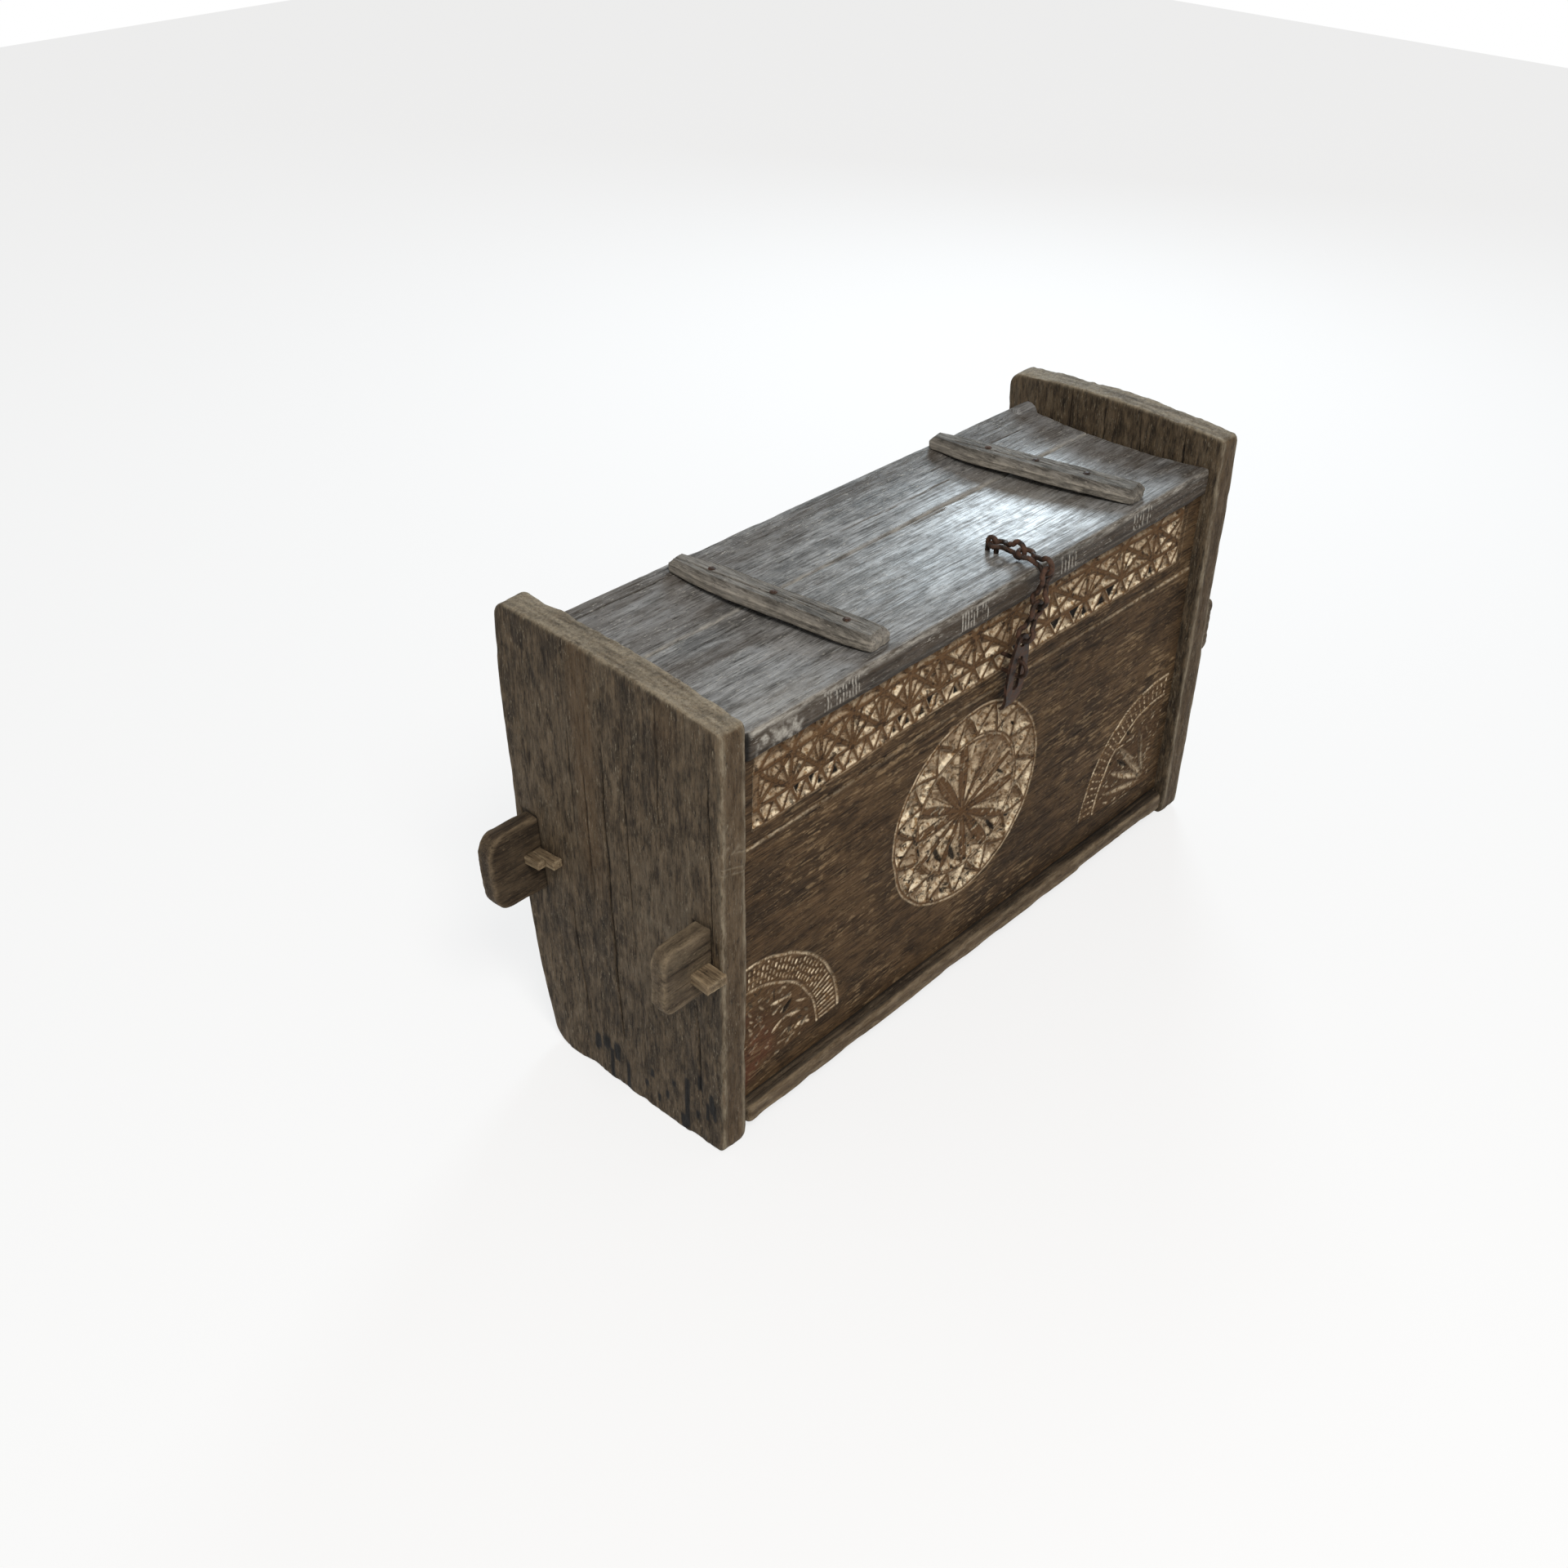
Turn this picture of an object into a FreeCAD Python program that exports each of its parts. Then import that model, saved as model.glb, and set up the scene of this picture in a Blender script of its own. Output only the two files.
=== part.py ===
import FreeCAD, Part
import math
import os

os.makedirs("parts", exist_ok=True)

Vector = FreeCAD.Vector

# Driving dimensions: millimetres and degrees, x along the chest, y from the front edges of the end boards
# to the back, z up from the floor

# End boards
inner_length = 940.0
end_thickness = 40.0
end_depth = 360.0
foot_depth = 306.0
back_edge_bow = 17.0
left_front_height = 611.0
left_crown_height = 628.0
left_back_height = 634.0
right_front_height = 626.0
right_crown_height = 635.0
right_back_height = 626.0
crown_share = 0.5
top_front_round = 9.0
top_back_round = 20.0
foot_front_round = 14.0
foot_back_round = 25.0
worn_edge = 3.0

# Fits shared by the joinery
housing_depth = 8.0
board_fit = 0.2
cut_overrun = 5.0

# Floor boards, housed in the ends, the front one with a nosing under the front board
floor_bottom = 16.0
floor_thickness = 29.0
nosing_setback = 3.0
nosing_left_gap = 8.0
nosing_right_gap = 4.0
nosing_round = 4.0
floor_depth = 309.0
floor_seam_share = 0.52
floor_housing_depth = 12.0

# Front board with its through tenons
front_recess = 20.0
front_thickness = 24.0
front_tenon_low = 258.0
front_tenon_height = 88.0
front_tenon_round = 14.0
left_front_tenon_proud = 70.0
right_front_tenon_proud = 50.0

# Back board with its through tenons, leaning out at the top
back_face = 333.0
back_thickness = 26.0
back_lean = 4.7
back_tenon_low = 251.0
back_tenon_height = 102.0
back_tenon_round = 24.0
left_back_tenon_proud = 75.0
right_back_tenon_proud = 50.0
back_top_gap = 0.6

# Wedges driven through the tenons against the end boards
wedge_fit = 0.3
wedge_slot_inset = 5.0
front_wedge_head = 32.0
front_wedge_tip = 26.0
front_wedge_height = 15.0
front_wedge_rise = 26.0
front_wedge_proud = 29.0
front_wedge_tail = 26.0
back_wedge_head = 15.0
back_wedge_tip = 11.0
back_pair_width = 26.0
back_wedge_height = 12.0
back_wedge_rise = 47.0
back_wedge_proud = 40.0
back_wedge_tail = 16.0
back_shim_proud = 25.0
back_shim_tail = 12.0
right_wedge_head = 24.0
right_wedge_tip = 18.0
right_wedge_height = 14.0
right_wedge_proud = 6.0
right_wedge_tail = 26.0

# Lid of two boards, turning on pintles cut from the back one
lid_front = 11.0
lid_underside = 546.0
lid_thickness = 40.0
lid_dish = 10.0
lid_rest_gap = 0.3
lid_left_gap = 8.0
lid_right_gap = 5.0
lid_front_board_width = 203.0
lid_seam = 0.5
lid_skew = 14.0
lid_edge_round = 5.0
hinge_y = 322.0
hinge_height = 28.0
pintle_radius = 16.0
pintle_clearance = 0.4
horn_length = 34.0
socket_depth = 26.0
socket_end_gap = 1.5
socket_flare = 4.0
socket_flare_depth = 6.0

# Battens across the lid and their nails
batten_width = 46.0
batten_thickness = 20.0
batten_bevel = 8.0
batten_back_tip = 22.0
batten_front_tip = 40.0
batten_back_taper = 70.0
batten_front_taper = 40.0
batten_inset = 14.0
left_batten_x = -237.0
left_batten_skew = 30.0
right_batten_x = 281.0
right_batten_skew = 54.0
seat_clearance = 0.05
nail_radius = 2.2
nail_head_radius = 5.0
nail_head_height = 1.6
nail_length = 46.0
nail_fit = 0.05
left_nail_shares = (0.2, 0.5, 0.84)
right_nail_shares = (0.28, 0.51, 0.75)

# Chain of figure-eight links, from a staple in the lid over the front edge
wire = 6.5
eye_radius = 10.25
neck_half = 4.9
shoulder_length = 10.0
twist_length = 12.0
link_play = 0.4
chain_x = 58.0
chain_drift = 5.0
edge_drop = 7.0
upper_lean = 18.0
lower_lean = 34.0
hang_clearance = 2.0
staple_play = 0.7
staple_eye_height = 12.0
staple_leg = 24.0
staple_fit = 0.15

# Hasp hanging from the chain, and the front staple that it drops over
hasp_thickness = 4.0
hasp_rim = 6.0
hasp_hole_radius = 6.0
hasp_width = 38.0
hasp_waist_drop = 62.0
hasp_bow = 2.0
hasp_belly = 4.0
hasp_lean = 4.6
hasp_slot_width = 12.0
hasp_slot_top_drop = 29.0
hasp_slot_drop = 80.0
hasp_tail_start = 5.0
hasp_tail_radius = 45.0
hasp_tail_gap = 0.5
hasp_tip_width = 7.0
hasp_play = 0.45
ring_wire = 5.5
ring_radius = 11.25
ring_drop = 47.0
ring_proud = 37.0
clinch_bend = 5.0
clinch_length = 16.0

# Least share of an edge's own direction that counts as running along an axis
parallel_share = 0.9

# Sizes that follow from those above
half_inner = inner_length / 2
end_face = half_inner + end_thickness
floor_top = floor_bottom + floor_thickness
front_back_face = front_recess + front_thickness
lid_top = lid_underside + lid_thickness
hinge_z = lid_underside + hinge_height
lid_left = -half_inner + lid_left_gap
lid_right = half_inner - lid_right_gap
lid_back = hinge_y + math.sqrt(hinge_height**2 - (lid_thickness - hinge_height) ** 2)
dish_middle = (lid_front + lid_back) / 2
dish_radius = ((lid_back - lid_front) ** 2 / 4 + lid_dish**2) / (2 * lid_dish)
front_top = lid_underside - lid_rest_gap
back_top = lid_underside - back_top_gap
link_span = 2 * shoulder_length + twist_length
hook_reach = link_span + eye_radius - wire - link_play
link_pitch = eye_radius + hook_reach
eye_outer = eye_radius + wire / 2
x_axis = Vector(1, 0, 0)
y_axis = Vector(0, 1, 0)
z_axis = Vector(0, 0, 1)


def box(x_low, x_high, y_low, y_high, z_low, z_high):
    """A block between two corners."""
    return Part.makeBox(x_high - x_low, y_high - y_low, z_high - z_low, Vector(x_low, y_low, z_low))


def prism(edges, travel):
    """The face inside a closed run of edges, carried along a vector."""
    return Part.Face(Part.Wire(Part.sortEdges(edges)[0])).extrude(travel)


def line(start, end):
    """A straight edge."""
    return Part.LineSegment(start, end).toShape()


def arc(start, middle, end):
    """A round edge through three points."""
    return Part.Arc(start, middle, end).toShape()


def edges_where(shape, test):
    """The edges whose every vertex passes a test."""
    return [edge for edge in shape.Edges if all(test(vertex.Point) for vertex in edge.Vertexes)]


def close(a, b):
    """True where two lengths are the same."""
    return math.isclose(a, b, abs_tol=1e-4)


def running_along(edges, axis):
    """The edges that set off along an axis."""
    return [edge for edge in edges if abs(edge.tangentAt(edge.FirstParameter).dot(axis)) > parallel_share]


def lid_height(y):
    """Height of the lid's dished top at a distance from the front."""
    return lid_top - lid_dish + dish_radius - math.sqrt(dish_radius**2 - (y - dish_middle) ** 2)


def tube(edges, radius):
    """A round wire along a tangent run of edges."""
    path = Part.Wire(edges)
    first = edges[0]
    start = first.valueAt(first.FirstParameter)
    along = first.tangentAt(first.FirstParameter)
    section = Part.Wire(Part.Circle(start, along, radius).toShape())
    return path.makePipeShell([section], True, False)


# End boards

def end_blank(front_height, crown_height, back_height):
    """An end board before its joints are cut: straight front edge, crowned top, bowed back edge."""
    front_foot = Vector(0, 0, 0)
    front_top_corner = Vector(0, 0, front_height)
    crown = Vector(0, crown_share * end_depth, crown_height)
    back_top_corner = Vector(0, end_depth, back_height)
    bow = Vector(0, (end_depth + foot_depth) / 2 + back_edge_bow, back_height / 2)
    back_foot = Vector(0, foot_depth, 0)
    outline = [
        line(front_foot, front_top_corner),
        arc(front_top_corner, crown, back_top_corner),
        arc(back_top_corner, bow, back_foot),
        line(back_foot, front_foot),
    ]
    board = prism(outline, x_axis * end_thickness)
    corners = (
        (front_foot, foot_front_round),
        (front_top_corner, top_front_round),
        (back_top_corner, top_back_round),
        (back_foot, foot_back_round),
    )
    for corner, radius in corners:
        here = edges_where(board, lambda p: close(p.y, corner.y) and close(p.z, corner.z))
        board = board.makeFillet(radius, here)
    outer_rim = edges_where(board, lambda p: close(p.x, 0))
    inner_rim = edges_where(board, lambda p: close(p.x, end_thickness))
    return board.makeFillet(worn_edge, outer_rim + inner_rim)


# Boards with through tenons

def tenoned_board(face_y, thickness, bottom, top, tenon_low, tenon_height, left_reach, right_reach, grow):
    """A board housed in both ends with one through tenon at each, grown all round for a cutter."""
    half = half_inner + housing_depth + grow
    near = face_y - grow
    far = face_y + thickness + grow
    body = box(-half, half, near, far, bottom, top)
    tenon = box(-left_reach, right_reach, near, far, tenon_low - grow, tenon_low + tenon_height + grow)
    return body.fuse(tenon).removeSplitter()


def round_tenons(board, left_reach, right_reach, radius):
    """Rounds the outer corners of a board's two tenons."""
    left = edges_where(board, lambda p: close(p.x, -left_reach))
    right = edges_where(board, lambda p: close(p.x, right_reach))
    return board.makeFillet(radius, running_along(left + right, y_axis))


def lean_back(shape):
    """Turns a piece of the back wall to its lean."""
    leaned = shape.copy()
    leaned.rotate(Vector(0, back_face, back_tenon_low + back_tenon_height / 2), x_axis, -back_lean)
    return leaned


def front_board_blank(grow=0.0, overrun=0.0):
    """The front board, standing on the floor boards under the lid."""
    left_reach = end_face + left_front_tenon_proud + overrun
    right_reach = end_face + right_front_tenon_proud + overrun
    board = tenoned_board(
        front_recess, front_thickness, floor_top, front_top + grow,
        front_tenon_low, front_tenon_height, left_reach, right_reach, grow,
    )
    if grow == 0:
        board = round_tenons(board, left_reach, right_reach, front_tenon_round)
    return board


def back_board_blank(grow=0.0, overrun=0.0):
    """The leaning back board, trimmed level at the floor boards and under the lid."""
    left_reach = end_face + left_back_tenon_proud + overrun
    right_reach = end_face + right_back_tenon_proud + overrun
    board = tenoned_board(
        back_face - back_thickness, back_thickness, floor_top - cut_overrun, back_top + cut_overrun,
        back_tenon_low, back_tenon_height, left_reach, right_reach, grow,
    )
    if grow == 0:
        board = round_tenons(board, left_reach, right_reach, back_tenon_round)
    level = box(-left_reach, right_reach, 0, end_depth + cut_overrun, floor_top, back_top + grow)
    return lean_back(board).common(level)


# Wedges

def wedge(side, near_ends, far_ends, y_ends, low, height):
    """A key lying across a tenon, from near to far out of the end board's face, front end first."""
    plan = [
        Vector(side * (end_face + near_ends[0]), y_ends[0], low),
        Vector(side * (end_face + near_ends[1]), y_ends[1], low),
        Vector(side * (end_face + far_ends[1]), y_ends[1], low),
        Vector(side * (end_face + far_ends[0]), y_ends[0], low),
    ]
    edges = [line(plan[i - 1], plan[i]) for i in range(len(plan))]
    return prism(edges, z_axis * height)


def wedge_slot(side, far_ends, y_ends, low, height):
    """The slot through a tenon for a wedge, running on inside the end board."""
    near_ends = (-wedge_slot_inset, -wedge_slot_inset)
    return wedge(side, near_ends, far_ends, y_ends, low - wedge_fit, height + 2 * wedge_fit)


def make_wedges():
    """All wedges and the slots that they fill, by name, with the board that each slot is cut in."""
    front_low = front_tenon_low + front_wedge_rise
    back_low = back_tenon_low + back_wedge_rise
    back_near = back_face - back_thickness
    flush = (0.0, 0.0)
    left_front_far = (front_wedge_head, front_wedge_tip)
    left_front_y = (front_recess - front_wedge_proud, front_back_face + front_wedge_tail)
    pair_inner = (back_wedge_head, back_wedge_tip)
    pair_far = (back_pair_width, back_pair_width)
    pair_y = (back_near - back_wedge_proud, back_face + back_wedge_tail)
    pair_slope = (back_wedge_head - back_wedge_tip) / (pair_y[1] - pair_y[0])
    shim_y = (back_near - back_shim_proud, back_face + back_shim_tail)
    shim_near = [back_wedge_head - pair_slope * (y - pair_y[0]) for y in shim_y]
    right_far = (right_wedge_head, right_wedge_tip)
    right_front_y = (front_recess - right_wedge_proud, front_back_face + right_wedge_tail)
    right_back_y = (back_near - right_wedge_proud, back_face + right_wedge_tail)
    keys = {
        "left_front_wedge": wedge(-1, flush, left_front_far, left_front_y, front_low, front_wedge_height),
        "right_front_wedge": wedge(1, flush, right_far, right_front_y, front_low, right_wedge_height),
        "left_back_wedge": lean_back(wedge(-1, flush, pair_inner, pair_y, back_low, back_wedge_height)),
        "left_back_shim": lean_back(wedge(-1, shim_near, pair_far, shim_y, back_low, back_wedge_height)),
        "right_back_wedge": lean_back(wedge(1, flush, right_far, right_back_y, back_low, right_wedge_height)),
    }
    front_slots = [
        wedge_slot(-1, left_front_far, left_front_y, front_low, front_wedge_height),
        wedge_slot(1, right_far, right_front_y, front_low, right_wedge_height),
    ]
    back_slots = [
        lean_back(wedge_slot(-1, pair_far, pair_y, back_low, back_wedge_height)),
        lean_back(wedge_slot(1, right_far, right_back_y, back_low, right_wedge_height)),
    ]
    return keys, front_slots, back_slots


# Floor boards

def floor_blank(grow=0.0):
    """The whole floor: the part housed in the ends, and the nosing cut short of them."""
    half = half_inner + floor_housing_depth + grow
    housed = box(-half, half, front_recess, floor_depth + grow, floor_bottom - grow, floor_top + grow)
    if grow > 0:
        return housed
    nosing = box(
        -half_inner + nosing_left_gap, half_inner - nosing_right_gap,
        nosing_setback, front_recess, floor_bottom, floor_top,
    )
    nosing = nosing.makeFillet(
        nosing_round, edges_where(nosing, lambda p: close(p.y, nosing_setback) and close(p.z, floor_top))
    )
    return housed.fuse(nosing).removeSplitter()


def make_floor():
    """The two floor boards, meeting at a seam along the chest."""
    whole = floor_blank()
    seam = nosing_setback + floor_seam_share * (floor_depth - nosing_setback)
    reach = end_face + cut_overrun
    front_part = box(-reach, reach, 0, seam - board_fit / 2, 0, lid_underside)
    back_part = box(-reach, reach, seam + board_fit / 2, end_depth, 0, lid_underside)
    return {"floor_front_board": whole.common(front_part), "floor_back_board": whole.common(back_part)}


# Lid

def lid_blank():
    """The closed lid before it is parted: dished top, round back edge about the pintles, back skewed."""
    front_low = Vector(lid_left, lid_front, lid_underside)
    front_high = Vector(lid_left, lid_front, lid_top)
    dish = Vector(lid_left, dish_middle, lid_top - lid_dish)
    back_high = Vector(lid_left, lid_back, lid_top)
    back_nose = Vector(lid_left, hinge_y + hinge_height, hinge_z)
    back_low = Vector(lid_left, hinge_y, lid_underside)
    outline = [
        line(front_low, front_high),
        arc(front_high, dish, back_high),
        arc(back_high, back_nose, back_low),
        line(back_low, front_low),
    ]
    blank = prism(outline, x_axis * (lid_right - lid_left))
    front_edges = edges_where(blank, lambda p: close(p.y, lid_front))
    blank = blank.makeFillet(lid_edge_round, running_along(front_edges, x_axis))
    nose = hinge_y + hinge_height
    low = lid_underside - cut_overrun
    beyond = end_depth + hinge_height
    corners = [
        Vector(lid_left, nose, low),
        Vector(lid_right, nose - lid_skew, low),
        Vector(lid_right, beyond, low),
        Vector(lid_left, beyond, low),
    ]
    edges = [line(corners[i - 1], corners[i]) for i in range(len(corners))]
    return blank.cut(prism(edges, z_axis * (lid_thickness + 2 * cut_overrun)))


def pintle(side):
    """One pintle and the horn that it grows from at the lid's back corner."""
    lid_end = lid_left if side < 0 else lid_right
    start = lid_end - side * horn_length
    end = side * (half_inner + socket_depth - socket_end_gap)
    pin = Part.makeCylinder(pintle_radius, abs(end - start), Vector(start, hinge_y, hinge_z), x_axis * side)
    tip = edges_where(pin, lambda p: close(p.x, end))
    horn_end = edges_where(pin, lambda p: close(p.x, start))
    return pin.makeChamfer(worn_edge, tip).makeFillet(pintle_radius / 2, horn_end)


def pintle_socket(side):
    """Cutter for a pintle's blind socket with its worn, flared mouth."""
    radius = pintle_radius + pintle_clearance
    mouth = Vector(side * half_inner, hinge_y, hinge_z)
    bore = Part.makeCylinder(radius, socket_depth, mouth, x_axis * side)
    flare = Part.makeCone(radius + socket_flare, radius, socket_flare_depth, mouth, x_axis * side)
    return bore.fuse(flare)


def make_lid():
    """The two lid boards, the back one with both pintles."""
    whole = lid_blank()
    seam = lid_front + lid_front_board_width
    reach = end_face + cut_overrun
    front_part = box(-reach, reach, 0, seam - lid_seam / 2, 0, lid_top + cut_overrun)
    back_part = box(-reach, reach, seam + lid_seam / 2, end_depth, 0, lid_top + cut_overrun)
    back = whole.common(back_part).fuse([pintle(-1), pintle(1)]).removeSplitter()
    return {"lid_front_board": whole.common(front_part), "lid_back_board": back}


# Battens

def batten_line(middle_x, skew):
    """Back and front ends of a batten's middle line, with its flat underside clear of the lid's two rims."""
    back = Vector(middle_x - skew / 2, lid_back - batten_inset, 0)
    front = Vector(middle_x + skew / 2, lid_front + batten_inset, 0)
    across = abs(skew) / back.distanceToPoint(front)
    foremost = front.y - batten_front_tip / 2 * across
    rearmost = back.y + batten_back_tip / 2 * across
    seat = z_axis * (max(lid_height(foremost), lid_height(rearmost)) + seat_clearance)
    return back + seat, front + seat


def make_batten(middle_x, skew):
    """A bevelled batten, tapered in plan towards both ends, bridging the lid's dish."""
    back, front = batten_line(middle_x, skew)
    length = back.distanceToPoint(front)
    side = [
        (0, batten_back_tip / 2),
        (batten_back_taper, batten_width / 2),
        (length - batten_front_taper, batten_width / 2),
        (length, batten_front_tip / 2),
    ]
    plan = [Vector(s, t, 0) for s, t in side] + [Vector(s, -t, 0) for s, t in reversed(side)]
    edges = [line(plan[i - 1], plan[i]) for i in range(len(plan))]
    blank = prism(edges, z_axis * batten_thickness)
    top = edges_where(blank, lambda p: close(p.z, batten_thickness))
    batten = blank.makeChamfer(batten_bevel, top)
    turn = math.degrees(math.atan2(front.y - back.y, front.x - back.x))
    batten.Placement = FreeCAD.Placement(back, FreeCAD.Rotation(z_axis, turn))
    return batten


def nail(place, grow):
    """A nail with a low round head, standing on the batten's top at a place on its seat."""
    head_seat = place + z_axis * batten_thickness
    shank = Part.makeCylinder(nail_radius + grow, nail_length, head_seat - z_axis * nail_length, z_axis)
    head = Part.makeCone(nail_head_radius, nail_radius, nail_head_height, head_seat, z_axis)
    return shank.fuse(head).removeSplitter()


def nail_places(middle_x, skew, shares):
    """Where a batten's nails go in, along its middle line."""
    back, front = batten_line(middle_x, skew)
    return [back + (front - back) * share for share in shares]


# Chain

class Link:
    """A link's place: hinge and axis it turns on, upper eye, run to its lower eye, pin across."""

    def __init__(self, hinge, axis, eye, run, pin):
        self.hinge = hinge
        self.axis = axis
        self.eye = eye
        self.run = run
        self.pin = pin
        self.side = run.cross(pin)

    def at(self, pin, side, run):
        """A point from the middle of the upper eye."""
        return self.eye + self.pin * pin + self.side * side + self.run * run


def s_curve(link, start, end):
    """Two equal arcs that carry a strand sideways while it sets off and arrives along the run."""
    p = link.at(*start)
    q = link.at(*end)
    rise = (q - p).dot(link.run)
    across = (q - p) - link.run * rise
    width = across.Length
    radius = (rise**2 + width**2) / (4 * width)
    half_turn = math.asin(abs(rise) / 2 / radius) / 2
    ahead = link.run * math.copysign(radius * math.sin(half_turn), rise)
    middle = (p + q) / 2
    first = p + across * (radius * (1 - math.cos(half_turn)) / width) + ahead
    return [arc(p, first, middle), arc(middle, middle * 2 - first, q)]


def strand(link, stations, top, foot):
    """Half of a link's centre line, from the crown of its upper eye to the crown of its lower eye."""
    bend = eye_radius * math.sqrt(0.5)
    way = math.copysign(1, stations[0][0])
    path = [arc(top, link.at(way * bend, 0, -bend), link.at(*stations[0]))]
    for start, end in zip(stations, stations[1:]):
        path += s_curve(link, start, end)
    path.append(arc(link.at(*stations[-1]), link.at(0, way * bend, link_span + bend), foot))
    return path


def make_link(link):
    """A figure-eight link of round wire, its lower eye a quarter turn from its upper one."""
    waist = shoulder_length + twist_length
    stations = [
        (eye_radius, 0, 0),
        (neck_half, 0, shoulder_length),
        (0, neck_half, waist),
        (0, eye_radius, link_span),
    ]
    mirrored = [(-pin, -side, run) for pin, side, run in stations]
    top = link.at(0, 0, -eye_radius)
    foot = link.at(0, 0, link_span + eye_radius)
    halves = [tube(strand(link, half, top, foot), wire / 2) for half in (stations, mirrored)]
    return halves[0].fuse(halves[1])


def level_link(hinge, slope):
    """A link on the lid, running forward with the chain's drift and rising by a slope."""
    drift = math.radians(chain_drift)
    ahead = Vector(-math.sin(drift), -math.cos(drift), 0)
    pin = Vector(math.cos(drift), -math.sin(drift), 0)
    run = ahead * math.cos(slope) + z_axis * math.sin(slope)
    return Link(hinge, pin, hinge + run * eye_radius, run, pin)


def hanging_link(hinge, pull, lean):
    """A link in front of the lid, its upper eye drawn along a pull, leaning sideways towards the hasp."""
    turn = math.radians(lean)
    run = Vector(-math.sin(turn), 0, -math.cos(turn))
    pin = Vector(math.cos(turn), 0, -math.sin(turn))
    axis = y_axis.cross(pull) * -1
    return Link(hinge, axis, hinge + pull * eye_radius, run, pin)


def lay_chain():
    """The four links: one on the lid, one over the edge and two hanging.

    The first link's upright eye stands on the dished lid, so its slope and the staple's place are settled
    together in a few passes.
    """
    drift = math.cos(math.radians(chain_drift))
    drop = -math.radians(edge_drop)
    hang_y = lid_front - eye_outer - hang_clearance
    eye_reach = eye_radius + link_span
    slope = 0.0
    for _ in range(4):
        second_y = hang_y + link_pitch * math.cos(drop) * drift
        first_y = second_y + link_pitch * math.cos(slope) * drift
        first_z = lid_height(first_y) + staple_eye_height
        eye_y = first_y - eye_reach * math.cos(slope) * drift
        slope = math.asin((lid_height(eye_y - eye_outer) + eye_outer + link_play - first_z) / eye_reach)
    shift = math.tan(math.radians(chain_drift)) * (first_y - hang_y)
    first = level_link(Vector(chain_x + shift, first_y, first_z), slope)
    second = level_link(first.hinge + first.run * link_pitch, drop)
    third = hanging_link(second.hinge + second.run * link_pitch, -z_axis, upper_lean)
    fourth = hanging_link(third.eye + third.run * hook_reach, third.run, lower_lean)
    return [first, second, third, fourth]


def make_lid_staple(link, grow=0.0):
    """The staple in the lid: a round arch about the first link's hinge, on two driven legs."""
    reach = wire + staple_play
    ahead = Vector(link.pin.y, -link.pin.x, 0) * reach
    down = z_axis * -(staple_eye_height + staple_leg)
    front = link.hinge + ahead
    back = link.hinge - ahead
    path = [
        line(back + down, back),
        arc(back, link.hinge + z_axis * reach, front),
        line(front, front + down),
    ]
    return tube(path, wire / 2 + grow)


# Hasp and front staple

def hasp_hinge_of(link):
    """Middle of the hasp's upper rim, hanging with room to turn on the last link's lower eye."""
    seat = math.hypot(hasp_rim / 2, hasp_thickness / 2) + hasp_play
    crown = link.eye + link.run * (link_span + eye_radius)
    return crown + z_axis * (wire / 2 + seat)


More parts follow.
